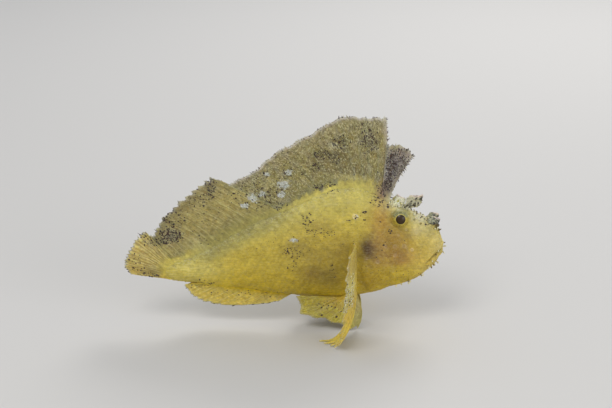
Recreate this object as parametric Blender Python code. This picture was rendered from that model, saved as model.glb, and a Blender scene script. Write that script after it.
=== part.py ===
"""Leaf scorpionfish, life size, perched on its pectoral and pelvic fins.

The fish faces +X, its left side is +Y, and the floor that it stands on is z = 0.
Lengths are millimetres until a mesh is made, which turns them into metres.
"""

import math

import bmesh
import bpy
import numpy as np
from mathutils import Vector

MM = 0.001
GAP = 0.3  # room kept between two nodes that touch
BEYOND = 60.0  # further from the middle than any part of the fish
SIDES = {"right": -1.0, "left": 1.0}

# Body sections, snout to tail root:
# x, height of back, height of belly, half width, level of the widest point
# (share of the depth), pinch above it and pinch below it (1 is an ellipse)
SECTIONS = [
    (45.10, 25.1, 23.6, 0.8, 0.50, 0.80, 0.90),
    (44.80, 26.5, 22.3, 1.7, 0.50, 0.80, 0.90),
    (44.20, 28.0, 20.9, 2.4, 0.49, 0.82, 0.90),
    (43.20, 29.7, 19.2, 3.0, 0.48, 0.85, 0.92),
    (41.60, 31.4, 17.4, 3.6, 0.46, 0.85, 0.95),
    (39.40, 32.9, 15.6, 4.1, 0.45, 0.85, 0.95),
    (36.80, 34.1, 13.9, 4.5, 0.45, 0.88, 0.95),
    (33.80, 35.4, 12.7, 4.9, 0.46, 0.92, 0.95),
    (30.50, 36.8, 11.8, 5.2, 0.46, 1.00, 0.95),
    (27.50, 38.8, 10.7, 5.4, 0.45, 1.12, 0.95),
    (23.00, 41.2, 9.6, 5.6, 0.43, 1.30, 0.92),
    (17.50, 42.0, 8.9, 5.5, 0.42, 1.40, 0.90),
    (11.50, 40.5, 8.8, 5.2, 0.42, 1.40, 0.90),
    (5.00, 37.3, 9.1, 4.6, 0.43, 1.35, 0.92),
    (-2.00, 33.9, 9.9, 3.9, 0.44, 1.28, 0.95),
    (-9.00, 30.7, 10.9, 3.2, 0.45, 1.20, 1.00),
    (-16.00, 26.4, 11.8, 2.5, 0.46, 1.10, 1.00),
    (-23.00, 22.4, 12.6, 2.0, 0.48, 1.00, 1.00),
    (-29.00, 19.9, 13.2, 1.6, 0.50, 1.00, 1.00),
    (-32.30, 18.9, 13.8, 1.35, 0.50, 1.00, 1.00),
    (-33.30, 17.9, 14.6, 1.05, 0.50, 1.00, 1.00),
]
SNOUT_POLE = (45.20, 25.2)
TAIL_POLE = (-33.60, 16.3)
RINGS_PER_SECTION = [1, 1, 2, 3, 3, 3, 3, 3, 3, 3, 3] + [2] * 9
AROUND = 42
TAIL_CUT = -21.5  # x where the tail's stalk begins

# Head features, as (x, z) on the flank
EYE = (32.9, 33.1)
EYE_SIDE = 3.3  # distance of the eyeball's centre from the mid-plane
EYE_RADIUS = 2.45
EYE_DEPTH = 2.1  # half the eyeball's size from side to side
ORBIT_SWELL, ORBIT_REACH = 0.75, 3.4
ORBIT_RIM, ORBIT_RIM_RADIUS, ORBIT_RIM_WIDTH = 0.45, 2.75, 0.6
BROW_CREST, BROW_TROUGH, BROW_REACH = 0.65, 0.5, 3.2
BROW_FOOT, BROW_TOP = 0.5, 2.4  # heights over the eye's centre
MOUTH_TIP = (45.1, 24.0)
MOUTH_CORNER = (39.9, 19.7)
MOUTH_OPENING = 0.42
LIP_HEIGHT, LIP_OFFSET, LIP_WIDTH = 0.38, 0.85, 0.5
LIPS_FADE = (0.85, 1.15)  # shares of the mouth's line
BEYOND_LIPS = 3.0  # how far the mouth's cut runs on, out of the snout
NOSTRIL = (38.7, 31.3)
NOSTRIL_RADIUS, NOSTRIL_DEPTH = 0.36, 0.45
NOSTRIL_RIM, NOSTRIL_RIM_WIDTH = 0.4, 0.55
GILL_EDGE = [
    (27.8, BEYOND),
    (27.2, 39.0),
    (24.4, 34.0),
    (21.2, 29.0),
    (21.4, 24.0),
    (23.2, 17.0),
    (25.6, 10.0),
    (27.0, 0.0),
]
GILL_LIFT, GILL_LIFT_REACH = 0.45, 3.0
FLANK = (0.8, 2.6)  # distances from the mid-plane where the flank's relief starts and is full
# Low ridges: the points that each runs through, its height and its half width
HEAD_RIDGES = {
    "cheek_plate": ([(28.2, 32.0), (26.2, 26.5), (27.4, 20.5), (31.5, 16.6), (36.5, 16.6)], 0.40, 0.75),
    "under_eye_stay": ([(36.6, 29.3), (33.0, 29.2), (29.6, 29.8), (27.2, 28.6)], 0.30, 0.65),
    "jaw_end": ([(41.2, 23.4), (39.0, 19.2)], 0.35, 0.90),
}

# Fins. A guide ray is (root, bend, tip), and a fin's rays are spread along its guides.
# A point of a mid-line fin is (x, z) and a point of a paired fin is (x, distance out, z).
# A mid-line fin's root gives only x, and takes its height from the body.
CREST_GUIDES = [
    (30.0, (30.7, 42.4), (36.8, 51.1)),
    (29.5, (30.8, 45.2), (34.8, 52.6)),
    (29.0, (29.9, 46.5), (31.4, 53.9)),
    (28.5, (29.1, 46.5), (29.7, 53.5)),
]
SPINY_GUIDES = [
    (27.9, (29.7, 52.0), (28.6, 61.7)),
    (24.6, (24.6, 52.0), (23.0, 61.4)),
    (21.4, (19.8, 52.0), (17.3, 62.2)),
    (15.6, (12.6, 50.0), (7.3, 57.2)),
    (9.2, (4.6, 46.2), (-2.8, 50.8)),
    (3.4, (-1.8, 41.6), (-9.4, 45.0)),
    (-1.4, (-7.6, 38.6), (-15.8, 41.8)),
]
SOFT_GUIDES = [
    (-2.3, (-10.8, 37.9), (-20.5, 43.9)),
    (-6.6, (-15.0, 37.4), (-23.6, 41.6)),
    (-11.0, (-19.2, 35.6), (-27.4, 38.8)),
    (-15.8, (-23.4, 33.0), (-30.9, 35.4)),
    (-20.8, (-27.4, 30.2), (-34.0, 32.2)),
    (-26.0, (-30.9, 27.0), (-35.9, 28.8)),
    (-30.2, (-33.2, 22.4), (-36.8, 26.7)),
]
ANAL_GUIDES = [
    (1.8, (0.6, 8.2), (-1.4, 7.2)),
    (-1.6, (-4.0, 7.6), (-7.4, 6.2)),
    (-5.6, (-9.2, 7.4), (-13.6, 5.7)),
    (-10.4, (-14.6, 8.0), (-19.4, 5.9)),
    (-15.2, (-19.2, 9.2), (-23.6, 7.2)),
    (-19.6, (-22.8, 10.3), (-26.0, 8.9)),
    (-23.0, (-25.2, 11.4), (-27.2, 10.6)),
    (-26.4, (-27.1, 12.4), (-28.2, 12.1)),
]
CAUDAL_GUIDES = [
    ((-31.9, 19.7), (-35.2, 23.6), (-39.2, 28.1)),
    ((-33.1, 18.7), (-37.0, 22.2), (-41.4, 26.2)),
    ((-33.8, 17.5), (-38.4, 20.2), (-43.4, 23.2)),
    ((-34.0, 16.3), (-39.0, 18.0), (-44.8, 20.0)),
    ((-33.9, 15.2), (-38.8, 16.2), (-45.2, 17.3)),
    ((-33.3, 14.1), (-38.2, 14.6), (-43.8, 15.2)),
]
PECTORAL_GUIDES = [
    ((19.7, 26.4), (21.0, 15.0, 29.2), (17.9, 24.0, 28.6)),
    ((19.5, 25.0), (21.6, 17.0, 26.6), (17.1, 26.4, 23.6)),
    ((19.3, 23.7), (21.9, 18.0, 22.8), (16.8, 27.2, 18.0)),
    ((19.2, 22.6), (22.0, 17.8, 18.2), (16.6, 26.6, 12.2)),
    ((19.2, 21.6), (21.9, 17.4, 13.4), (16.3, 24.4, 6.0)),
    ((19.3, 20.7), (21.4, 16.8, 8.2), (15.4, 20.8, 1.4)),
    ((19.5, 19.8), (20.6, 15.6, 1.4), (12.6, 16.8, 0.3)),
    ((19.8, 19.0), (19.8, 13.2, -1.6), (10.0, 13.2, 0.3)),
]
PELVIC_GUIDES = [
    ((20.9, 2.9), (23.8, 4.0, 4.6), (21.0, 4.6, 0.3)),
    ((20.0, 2.9), (21.0, 5.0, 4.4), (18.2, 5.4, 0.3)),
    ((19.0, 2.8), (17.2, 5.0, 5.2), (13.6, 5.4, 2.8)),
    ((18.0, 2.6), (14.0, 4.4, 6.0), (8.6, 4.8, 3.7)),
    ((17.0, 2.3), (11.6, 3.4, 6.8), (4.8, 3.8, 4.8)),
    ((15.8, 1.9), (10.4, 2.3, 7.6), (3.6, 2.6, 7.2)),
]
# Each fin: number of rays, points along a ray, half thickness of the web at its root and
# edge, height of the rays, depth of the notches between their tips, and sideways sway
FINS = {
    "dorsal_crest": (4, 6, 0.40, 0.28, 0.22, 0.06, 0.0),
    "dorsal_fin_spiny": (10, 8, 0.45, 0.28, 0.28, 0.05, 0.9),
    "dorsal_fin_soft": (12, 7, 0.35, 0.26, 0.20, 0.05, 0.9),
    "anal_fin": (10, 6, 0.32, 0.26, 0.20, 0.07, -0.4),
    "caudal_fin": (13, 6, 0.32, 0.26, 0.20, 0.05, 0.7),
    "pectoral_fin": (14, 9, 0.32, 0.30, 0.32, 0.06, 0.0),
    "pelvic_fin": (6, 7, 0.32, 0.28, 0.32, 0.09, 0.0),
}
PECTORAL_FREE_TIPS = 0.12  # extra notch depth between the lowest rays
COLUMN_STEPS = (0.0, 0.2, 0.5, 0.8)  # ray top, foot of the ray, middle of the web
RAYS_RISE_BY = 0.35  # share of its length over which a ray rises from the fin's root
RAY_FADE = 0.7  # share of its height that a ray loses by its tip
SWAY_TURNS = 1.1  # waves of the sideways sway from the first ray to the last
SWAY_LAG = 1.5  # how far the wave shifts from a ray's root to its tip, in radians
FLAT_BELOW = 0.45  # what hangs lower than this rests flat on the floor
SHORTEST_EDGE = 0.02

# Skin flaps: where each grows on the flank, its lean, its length and its width
BROW_FLAPS = {
    "right": ((34.6, 35.2), (0.75, -0.18, 0.72), 5.8, 2.9),
    "left": ((33.0, 35.5), (-0.45, 0.30, 0.95), 2.7, 2.1),
}
SNOUT_FLAP = ((40.6, 31.2), (0.75, 0.35, 0.62), 2.4, 2.0)
FLAP_THICKNESS = 0.5
FLAP_THINS_BY = 0.4  # share of its thickness that a flap loses by its tip
FLAP_ROWS = 5
FLAP_SWELL = (0.10, 0.84)  # part of half a wave that gives a flap its width, root and tip
FLAP_FULLNESS = 0.9  # below 1 the flap's sides are rounder
FLAP_RIPPLE, FLAP_RIPPLE_WAVES = 0.12, 1.5
FLAP_LIFT = 0.2  # clears the skin's curve under a flap's root
CHIN_FLAPS = 9
CHIN_FLAPS_FROM, CHIN_FLAPS_TO = 0.9, 6.3  # section numbers of the first and the last
CHIN_FLAP_ANGLE = 0.42  # from the belly's mid-line, in radians
CHIN_FLAP_LENGTH, CHIN_FLAP_VARIES, CHIN_FLAP_BEAT = 0.9, 0.35, 2.4
CHIN_FLAP_WIDTH = 0.7
CHIN_FLAP_SUNK = 0.6
SMOOTH_UNDER = 40  # edges that turn by less, in degrees, are shaded smooth

# Colour and roughness
SKIN = ((0.62, 0.49, 0.10), 0.45)
FIN = ((0.44, 0.44, 0.16), 0.50)
FLAP = ((0.42, 0.41, 0.26), 0.60)
EYEBALL = ((0.10, 0.07, 0.03), 0.10)


def clear_scene():
    for obj in list(bpy.data.objects):
        bpy.data.objects.remove(obj, do_unlink=True)


def give_material(obj, finish):
    colour, roughness = finish
    made = bpy.data.materials.new(obj.name)
    made.use_nodes = True
    shader = made.node_tree.nodes["Principled BSDF"]
    shader.inputs["Base Color"].default_value = (*colour, 1.0)
    shader.inputs["Roughness"].default_value = roughness
    shader.inputs["Metallic"].default_value = 0.0
    obj.data.materials.clear()
    obj.data.materials.append(made)


def hump(distance, width):
    """A bell curve, 1 at distance 0."""
    return math.exp(-((distance / width) ** 2))


def ease(value, start, end):
    """0 before start, 1 after end, smooth between them."""
    share = min(1.0, max(0.0, (value - start) / (end - start)))
    return share * share * (3.0 - 2.0 * share)


def along_rows(rows, place):
    """Row number place (a fraction is fine) on a smooth curve through the rows."""
    rows = np.asarray(rows, float)
    first = int(min(max(math.floor(place), 0), len(rows) - 2))
    t = place - first
    before = rows[max(first - 1, 0)]
    start, end = rows[first], rows[first + 1]
    after = rows[min(first + 2, len(rows) - 1)]
    into, out = (end - before) / 2, (after - start) / 2
    return (
        start * (2 * t**3 - 3 * t**2 + 1)
        + into * (t**3 - 2 * t**2 + t)
        + end * (3 * t**2 - 2 * t**3)
        + out * (t**3 - t**2)
    )


def distance_to_path(x, z, path):
    """How far (x, z) is from a chain of straight lines."""
    point = np.array((x, z))
    nearest = math.inf
    for start, end in zip(path, path[1:]):
        start, end = np.array(start), np.array(end)
        line = end - start
        share = np.clip((point - start) @ line / (line @ line), 0.0, 1.0)
        nearest = min(nearest, float(np.linalg.norm(point - start - share * line)))
    return nearest


PROFILE_PLACES = np.linspace(0, len(SECTIONS) - 1, 400)
PROFILE = np.array([along_rows(SECTIONS, place) for place in PROFILE_PLACES])


def section_at(x):
    """The interpolated section at x."""
    place = np.interp(-x, -PROFILE[:, 0], PROFILE_PLACES)
    return along_rows(SECTIONS, place)


def gill_edge_x(z):
    """x of the gill cover's rear edge at height z."""
    heights = [-point[1] for point in GILL_EDGE]
    return float(np.interp(-z, heights, [point[0] for point in GILL_EDGE]))


def mouth_coordinates(x, z):
    """Share of the way from the mouth's tip to its corner, and the distance off that line."""
    start, end = np.array(MOUTH_TIP), np.array(MOUTH_CORNER)
    line = end - start
    away = np.array((x, z)) - start
    share = away @ line / (line @ line)
    off = (away[0] * line[1] - away[1] * line[0]) / np.linalg.norm(line)
    return share, off


def relief(x, y, z):
    """How far the skin stands out from the plain section at this point."""
    flank = ease(abs(y), *FLANK)
    eye_distance = math.hypot(x - EYE[0], z - EYE[1])
    out = flank * ORBIT_SWELL * hump(eye_distance, ORBIT_REACH)
    out += flank * ORBIT_RIM * hump(eye_distance - ORBIT_RIM_RADIUS, ORBIT_RIM_WIDTH)
    brow = ease(z - EYE[1], BROW_FOOT, BROW_TOP) * hump(x - EYE[0], BROW_REACH)
    out += brow * (flank * BROW_CREST - (1.0 - flank) * BROW_TROUGH)
    share, off = mouth_coordinates(x, z)
    out += (1.0 - ease(share, *LIPS_FADE)) * LIP_HEIGHT * hump(abs(off) - LIP_OFFSET, LIP_WIDTH)
    for path, height, width in HEAD_RIDGES.values():
        out += flank * height * hump(distance_to_path(x, z, path), width)
    nostril_distance = math.hypot(x - NOSTRIL[0], z - NOSTRIL[1])
    out += flank * NOSTRIL_RIM * hump(nostril_distance, NOSTRIL_RIM_WIDTH)
    ahead = x - gill_edge_x(z)
    if ahead > 0:
        out += flank * GILL_LIFT * hump(ahead, GILL_LIFT_REACH)
    return out


def plain_point(section, angle):
    """A point of a section, angle 0 at the back and pi at the belly, positive on the left."""
    x, top, bottom, half, level, pinch_top, pinch_low = section
    widest = bottom + level * (top - bottom)
    upright, across = math.cos(angle), math.sin(angle)
    reach = top - widest if upright > 0 else widest - bottom
    pinch = pinch_top if upright > 0 else pinch_low
    y = half * math.copysign(abs(across) ** pinch, across)
    return np.array((x, y, widest + reach * upright))


def skin_point(place, angle):
    """A point of the skin and its outward normal, by section number and angle."""
    step = 0.02
    here = plain_point(along_rows(SECTIONS, place), angle)
    ahead = plain_point(along_rows(SECTIONS, place - step), angle)
    behind = plain_point(along_rows(SECTIONS, place + step), angle)
    above = plain_point(along_rows(SECTIONS, place), angle - step)
    below = plain_point(along_rows(SECTIONS, place), angle + step)
    normal = np.cross(behind - ahead, above - below)
    length = np.linalg.norm(normal)
    if length < 1e-9:
        return here, np.array((0.0, 0.0, math.copysign(1.0, math.cos(angle))))
    normal /= length
    return here + normal * relief(*here), normal


def on_flank(x, z, side):
    """The skin's point and normal at (x, z) on one flank."""
    section = section_at(x)
    top, bottom, level = section[1], section[2], section[4]
    widest = bottom + level * (top - bottom)
    reach = top - widest if z > widest else widest - bottom
    angle = math.acos(max(-1.0, min(1.0, (z - widest) / reach)))
    place = float(np.interp(-x, -PROFILE[:, 0], PROFILE_PLACES))
    return skin_point(place, side * angle)


def back_height(x):
    return float(section_at(x)[1])


def belly_height(x, out=0.0):
    """Height of the underside at x, this far out from the mid-plane."""
    _, top, bottom, half, level, _, pinch = section_at(x)
    across = min(1.0, out / half) ** (1.0 / pinch)
    widest = bottom + level * (top - bottom)
    return float(widest - (widest - bottom) * math.sqrt(1.0 - across * across))


def new_object(name, vertices, faces):
    """An object from points in millimetres, with its faces turned outwards."""
    shape = bmesh.new()
    made = [shape.verts.new(Vector(point) * MM) for point in vertices]
    for face in faces:
        shape.faces.new([made[i] for i in face])
    bmesh.ops.recalc_face_normals(shape, faces=shape.faces)
    mesh = bpy.data.meshes.new(name)
    shape.to_mesh(mesh)
    shape.free()
    obj = bpy.data.objects.new(name, mesh)
    bpy.context.scene.collection.objects.link(obj)
    return obj


def apply_modifiers(obj):
    """Replaces the object's mesh by its evaluated one, keeping its largest closed surface."""
    bpy.context.view_layer.update()
    graph = bpy.context.evaluated_depsgraph_get()
    mesh = bpy.data.meshes.new_from_object(obj.evaluated_get(graph))
    obj.modifiers.clear()
    obj.data = mesh
    keep_largest(obj)


def keep_largest(obj):
    """Drops every closed surface of the mesh but the largest."""
    shape = bmesh.new()
    shape.from_mesh(obj.data)
    unseen = set(shape.faces)
    groups = []
    while unseen:
        group, to_visit = set(), [unseen.pop()]
        while to_visit:
            face = to_visit.pop()
            group.add(face)
            beside = {other for edge in face.edges for other in edge.link_faces} & unseen
            unseen -= beside
            to_visit += beside
        groups.append(group)
    largest = max(groups, key=lambda group: sum(face.calc_area() for face in group))
    scraps = [face for group in groups if group is not largest for face in group]
    bmesh.ops.delete(shape, geom=scraps, context="FACES")
    shape.to_mesh(obj.data)
    shape.free()


def merge_slivers(obj):
    """Splits the faces into triangles and closes up the very short edges that cuts leave."""
    shape = bmesh.new()
    shape.from_mesh(obj.data)
    bmesh.ops.triangulate(shape, faces=shape.faces)
    bmesh.ops.dissolve_degenerate(shape, edges=shape.edges, dist=SHORTEST_EDGE * MM)
    bmesh.ops.triangulate(shape, faces=shape.faces)
    shape.to_mesh(obj.data)
    shape.free()


def boolean(obj, other, operation):
    """Joins, cuts or intersects with another object, which is then removed."""
    modifier = obj.modifiers.new(operation.lower(), "BOOLEAN")
    modifier.operation = operation
    modifier.object = other
    apply_modifiers(obj)
    bpy.data.objects.remove(other, do_unlink=True)


def join_all(obj, pieces):
    """One union of the object with all the pieces, which are then removed."""
    group = bpy.data.collections.new(obj.name + "_pieces")
    bpy.context.scene.collection.children.link(group)
    for piece in pieces:
        bpy.context.scene.collection.objects.unlink(piece)
        group.objects.link(piece)
    modifier = obj.modifiers.new("union", "BOOLEAN")
    modifier.operation = "UNION"
    modifier.operand_type = "COLLECTION"
    modifier.collection = group
    apply_modifiers(obj)
    for piece in list(group.objects):
        bpy.data.objects.remove(piece, do_unlink=True)
    bpy.data.collections.remove(group)


def prism(name, outline, half_width=BEYOND):
    """A block with this (x, z) outline, straight through from side to side."""
    count = len(outline)
    vertices = [(x, y, z) for y in (-half_width, half_width) for x, z in outline]
    faces = [range(count), range(count, 2 * count)]
    for i in range(count):
        j = (i + 1) % count
        faces.append((i, j, j + count, i + count))
    return new_object(name, vertices, faces)


def ring_places():
    """Section numbers at which the body mesh has its rings."""
    places = []
    for i, count in enumerate(RINGS_PER_SECTION):
        places += [i + k / count for k in range(count)]
    return [*places, len(SECTIONS) - 1]


def whole_body(name):
    """The body from snout to tail root as one closed mesh."""
    rings = []
    for place in ring_places():
        angles = [2 * math.pi * k / AROUND for k in range(AROUND)]
        angles = [a if a <= math.pi else a - 2 * math.pi for a in angles]
        rings.append([skin_point(place, angle)[0] for angle in angles])
    vertices = [point for ring in rings for point in ring]
    front, rear = len(vertices), len(vertices) + 1
    vertices += [(SNOUT_POLE[0], 0.0, SNOUT_POLE[1]), (TAIL_POLE[0], 0.0, TAIL_POLE[1])]
    last = (len(rings) - 1) * AROUND
    faces = []
    for k in range(AROUND):
        after = (k + 1) % AROUND
        faces.append((front, k, after))
        faces.append((rear, last + k, last + after))
        for i in range(len(rings) - 1):
            a, b = i * AROUND, (i + 1) * AROUND
            faces.append((a + k, a + after, b + after))
            faces.append((a + k, b + after, b + k))
    return new_object(name, vertices, faces)


def upright_cut(x):
    return [(x, 0.0), (x, BEYOND)]


def body_nodes():
    """The head, the trunk and the tail's stalk, parted by thin cuts."""
    half = GAP / 2
    regions = {
        "head": [(x + half, z) for x, z in GILL_EDGE] + upright_cut(BEYOND),
        "trunk": [(x - half, z) for x, z in GILL_EDGE] + upright_cut(TAIL_CUT + half),
        "tail_stalk": upright_cut(TAIL_CUT - half)[::-1] + upright_cut(-BEYOND),
    }
    nodes = {}
    for name, outline in regions.items():
        nodes[name] = whole_body(name)
        boolean(nodes[name], prism("region", outline), "INTERSECT")
    return nodes


def ball(name, centre, radius, depth, around=18, rings=10):
    """A ball whose poles lie on the left-right axis, where its half size is depth."""
    vertices = [(centre[0], centre[1] - depth, centre[2])]
    for i in range(1, rings):
        tilt = math.pi * i / rings
        for k in range(around):
            turn = 2 * math.pi * k / around
            vertices.append(
                (
                    centre[0] + radius * math.sin(tilt) * math.cos(turn),
                    centre[1] - depth * math.cos(tilt),
                    centre[2] + radius * math.sin(tilt) * math.sin(turn),
                )
            )
    vertices.append((centre[0], centre[1] + depth, centre[2]))
    last = len(vertices) - 1
    faces = []
    for k in range(around):
        after = (k + 1) % around
        faces.append((0, 1 + k, 1 + after))
        faces.append((last, last - around + k, last - around + after))
        for i in range(rings - 2):
            a, b = 1 + i * around, 1 + (i + 1) * around
            faces.append((a + k, a + after, b + after))
            faces.append((a + k, b + after, b + k))
    return new_object(name, vertices, faces)


def cut_mouth(head):
    """The closed mouth's line: a thin wedge from its corner out past the lips."""
    tip, corner = np.array(MOUTH_TIP), np.array(MOUTH_CORNER)
    line = (tip - corner) / np.linalg.norm(tip - corner)
    across = np.array((-line[1], line[0]))
    beyond = tip + line * BEYOND_LIPS
    wide = MOUTH_OPENING / 2
    outline = [corner, beyond - across * wide, beyond + across * wide]
    boolean(head, prism("mouth_cut", [tuple(point) for point in outline]), "DIFFERENCE")


def cut_eyes_and_nostrils(head):
    for side in SIDES.values():
        centre = (EYE[0], side * EYE_SIDE, EYE[1])
        socket = ball("socket", centre, EYE_RADIUS + GAP, EYE_DEPTH + GAP)
        boolean(head, socket, "DIFFERENCE")
        rim = on_flank(*NOSTRIL, side)[0]
        pit = ball("nostril_pit", rim, NOSTRIL_RADIUS, NOSTRIL_DEPTH, around=10, rings=6)
        boolean(head, pit, "DIFFERENCE")


def eyes():
    for word, side in SIDES.items():
        centre = (EYE[0], side * EYE_SIDE, EYE[1])
        give_material(ball(f"eye_{word}", centre, EYE_RADIUS, EYE_DEPTH), EYEBALL)


def leaf_shape(length, width):
    """(distance from the root, half width) pairs of a flap with a stalk and a lobed tip."""
    start, end = FLAP_SWELL
    edges = []
    for i in range(FLAP_ROWS + 1):
        share = i / FLAP_ROWS
        swell = math.sin(math.pi * (start + (end - start) * share)) ** FLAP_FULLNESS
        ripple = 1.0 + FLAP_RIPPLE * share * math.cos(2 * math.pi * FLAP_RIPPLE_WAVES * share)
        edges.append((share * length, width / 2 * swell * ripple))
    return edges


def leaf(name, root, way, flat, length, width, sunk=0.0):
    """A thin skin flap that grows from root along way, its broad face square to flat."""
    way = Vector(way).normalized()
    across = way.cross(Vector(flat)).normalized()
    flat = across.cross(way).normalized()
    vertices = []
    for along, half in leaf_shape(length, width):
        thick = FLAP_THICKNESS / 2 * (1.0 - FLAP_THINS_BY * along / length)
        for sign_across, sign_flat in ((-1, -1), (1, -1), (1, 1), (-1, 1)):
            point = Vector(root) + way * (along - sunk)
            point += across * (sign_across * half) + flat * (sign_flat * thick)
            vertices.append(tuple(point))
    count = len(vertices) // 4
    faces = [(0, 1, 2, 3), tuple(4 * count - 4 + k for k in range(4))]
    for i in range(count - 1):
        for k in range(4):
            after = (k + 1) % 4
            faces.append((4 * i + k, 4 * i + after, 4 * i + 4 + after, 4 * i + 4 + k))
    return new_object(name, vertices, faces)


def skin_flap(name, place, side, way, length, width):
    """A leafy flap that stands just off the flank at place, broad side outwards."""
    root, normal = on_flank(*place, side)
    start = Vector(root + normal * (GAP + FLAP_LIFT))
    give_material(leaf(name, start, way, (0.0, 1.0, 0.0), length, width), FLAP)


def skin_flaps():
    """The flaps above the eyes and on the snout. The left brow flap leans back."""
    for word, side in SIDES.items():
        place, way, length, width = BROW_FLAPS[word]
        skin_flap(f"brow_flap_{word}", place, side, way, length, width)
        place, way, length, width = SNOUT_FLAP
        way = (way[0], side * way[1], way[2])
        skin_flap(f"snout_flap_{word}", place, side, way, length, width)


def chin_flaps(head):
    """Small flaps along the lower jaw, to the left and right in turn, fused to the head."""
    flaps = []
    for i in range(CHIN_FLAPS):
        share = i / (CHIN_FLAPS - 1)
        place = CHIN_FLAPS_FROM + (CHIN_FLAPS_TO - CHIN_FLAPS_FROM) * share
        side = 1.0 if i % 2 else -1.0
        root, normal = skin_point(place, side * (math.pi - CHIN_FLAP_ANGLE))
        shown = CHIN_FLAP_LENGTH + CHIN_FLAP_VARIES * math.sin(CHIN_FLAP_BEAT * i)
        length = CHIN_FLAP_SUNK + shown
        flat = np.cross(normal, (0.0, 1.0, 0.0))
        flap = leaf(f"chin_flap_{i}", root, normal, flat, length, CHIN_FLAP_WIDTH, CHIN_FLAP_SUNK)
        flaps.append(flap)
    join_all(head, flaps)


def bezier(root, bend, tip, share):
    return root * (1 - share) ** 2 + bend * 2 * share * (1 - share) + tip * share**2


class Fin:
    """A fin as a fan of rays with webs between them.

    guides holds (root, bend, tip) points in space. Positions across the fin run from 0
    at the first ray to 1 at the last, and positions along a ray from 0 to 1 at its tip.
    """

    def __init__(self, kind, guides):
        self.guides = np.asarray(guides, float)
        self.rays, self.rows, self.root_half, self.tip_half = FINS[kind][:4]
        self.ray_height, self.notch, self.sway = FINS[kind][4:]
        self.free_tips = PECTORAL_FREE_TIPS if kind == "pectoral_fin" else 0.0

    def point(self, across, along):
        guide = along_rows(self.guides, across * (len(self.guides) - 1))
        between = math.sin(math.pi * across * (self.rays - 1)) ** 2
        notch = self.notch + self.free_tips * across**3
        place = bezier(*guide, along * (1.0 - between * notch))
        phase = 2 * math.pi * SWAY_TURNS * across + SWAY_LAG * along
        return place + np.array((0.0, self.sway * along**2 * math.sin(phase), 0.0))

    def half_thickness(self, along, on_ray):
        half = self.root_half + (self.tip_half - self.root_half) * along
        if on_ray:
            half += self.ray_height * ease(along, 0.0, RAYS_RISE_BY) * (1.0 - RAY_FADE * along)
        return half

    def normal(self, across, along):
        step = 0.004
        lower, upper = max(0.0, along - step), min(1.0, along + step)
        left, right = max(0.0, across - step), min(1.0, across + step)
        sideways = self.point(right, along) - self.point(left, along)
        outwards = self.point(across, upper) - self.point(across, lower)
        normal = np.cross(sideways, outwards)
        return normal / np.linalg.norm(normal)

    def columns(self):
        """(position across, whether it runs along a ray) for each column of the mesh."""
        found = []
        for ray in range(self.rays - 1):
            for step in COLUMN_STEPS:
                found.append(((ray + step) / (self.rays - 1), step == 0.0))
        return [*found, (1.0, True)]


def fin_node(name, fin, on_floor=False):
    """The fin as a closed thin body. Both faces are split into triangles alike."""
    columns = fin.columns()
    near, far = [], []
    for across, on_ray in columns:
        for row in range(fin.rows):
            along = row / (fin.rows - 1)
            half = fin.half_thickness(along, on_ray)
            middle = fin.point(across, along)
            normal = fin.normal(across, along)
            if on_floor:
                middle[2] = max(middle[2], half * abs(normal[2]))
            for points, sign in ((near, 1.0), (far, -1.0)):
                point = middle + sign * half * normal
                if on_floor and point[2] < FLAT_BELOW:
                    point[2] = 0.0
                points.append(point)
    give_material(new_object(name, near + far, fin_faces(len(columns), fin.rows)), FIN)


def fin_faces(columns, rows):
    """Triangles of a thin closed grid: its two faces and the strip round its edge."""
    other = columns * rows
    faces = []
    for i in range(columns - 1):
        for j in range(rows - 1):
            a, b = i * rows + j, (i + 1) * rows + j
            for shift in (0, other):
                faces.append((a + shift, b + shift, b + 1 + shift))
                faces.append((a + shift, b + 1 + shift, a + 1 + shift))
    edge = [i * rows for i in range(columns)]
    edge += [(columns - 1) * rows + j for j in range(1, rows)]
    edge += [i * rows + rows - 1 for i in range(columns - 2, -1, -1)]
    edge += list(range(rows - 2, 0, -1))
    for here, after in zip(edge, edge[1:] + edge[:1]):
        faces.append((here, after, after + other))
        faces.append((here, after + other, here + other))
    return faces


def midline_guides(guides, root_height):
    """Guide rays of a fin on the mid-plane, rooted on the body."""
    found = []
    for root_x, bend, tip in guides:
        root = (root_x, 0.0, root_height(root_x))
        found.append((root, (bend[0], 0.0, bend[1]), (tip[0], 0.0, tip[1])))
    return found


def on_back(x):
    return back_height(x) + GAP


def under_belly(x):
    return belly_height(x) - GAP


def dorsal_fins():
    fin_node("dorsal_crest", Fin("dorsal_crest", midline_guides(CREST_GUIDES, on_back)))
    fin_node("dorsal_fin_spiny", Fin("dorsal_fin_spiny", midline_guides(SPINY_GUIDES, on_back)))
    fin_node("dorsal_fin_soft", Fin("dorsal_fin_soft", midline_guides(SOFT_GUIDES, on_back)))


def anal_fin():
    fin_node("anal_fin", Fin("anal_fin", midline_guides(ANAL_GUIDES, under_belly)))


def caudal_fin():
    guides = [[(x, 0.0, z) for x, z in guide] for guide in CAUDAL_GUIDES]
    fin_node("caudal_fin", Fin("caudal_fin", guides))


def to_side(point, side):
    """An (x, distance out, z) point on one side of the fish."""
    return (point[0], side * point[1], point[2])


def pectoral_fin(word, side):
    """A broad fan held out to the side, its lowest rays bent back along the floor."""
    clear = GAP + FINS["pectoral_fin"][2]
    guides = []
    for root, bend, tip in PECTORAL_GUIDES:
        skin, normal = on_flank(*root, side)
        guides.append((skin + normal * clear, to_side(bend, side), to_side(tip, side)))
    fin_node(f"pectoral_fin_{word}", Fin("pectoral_fin", guides), on_floor=True)


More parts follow.
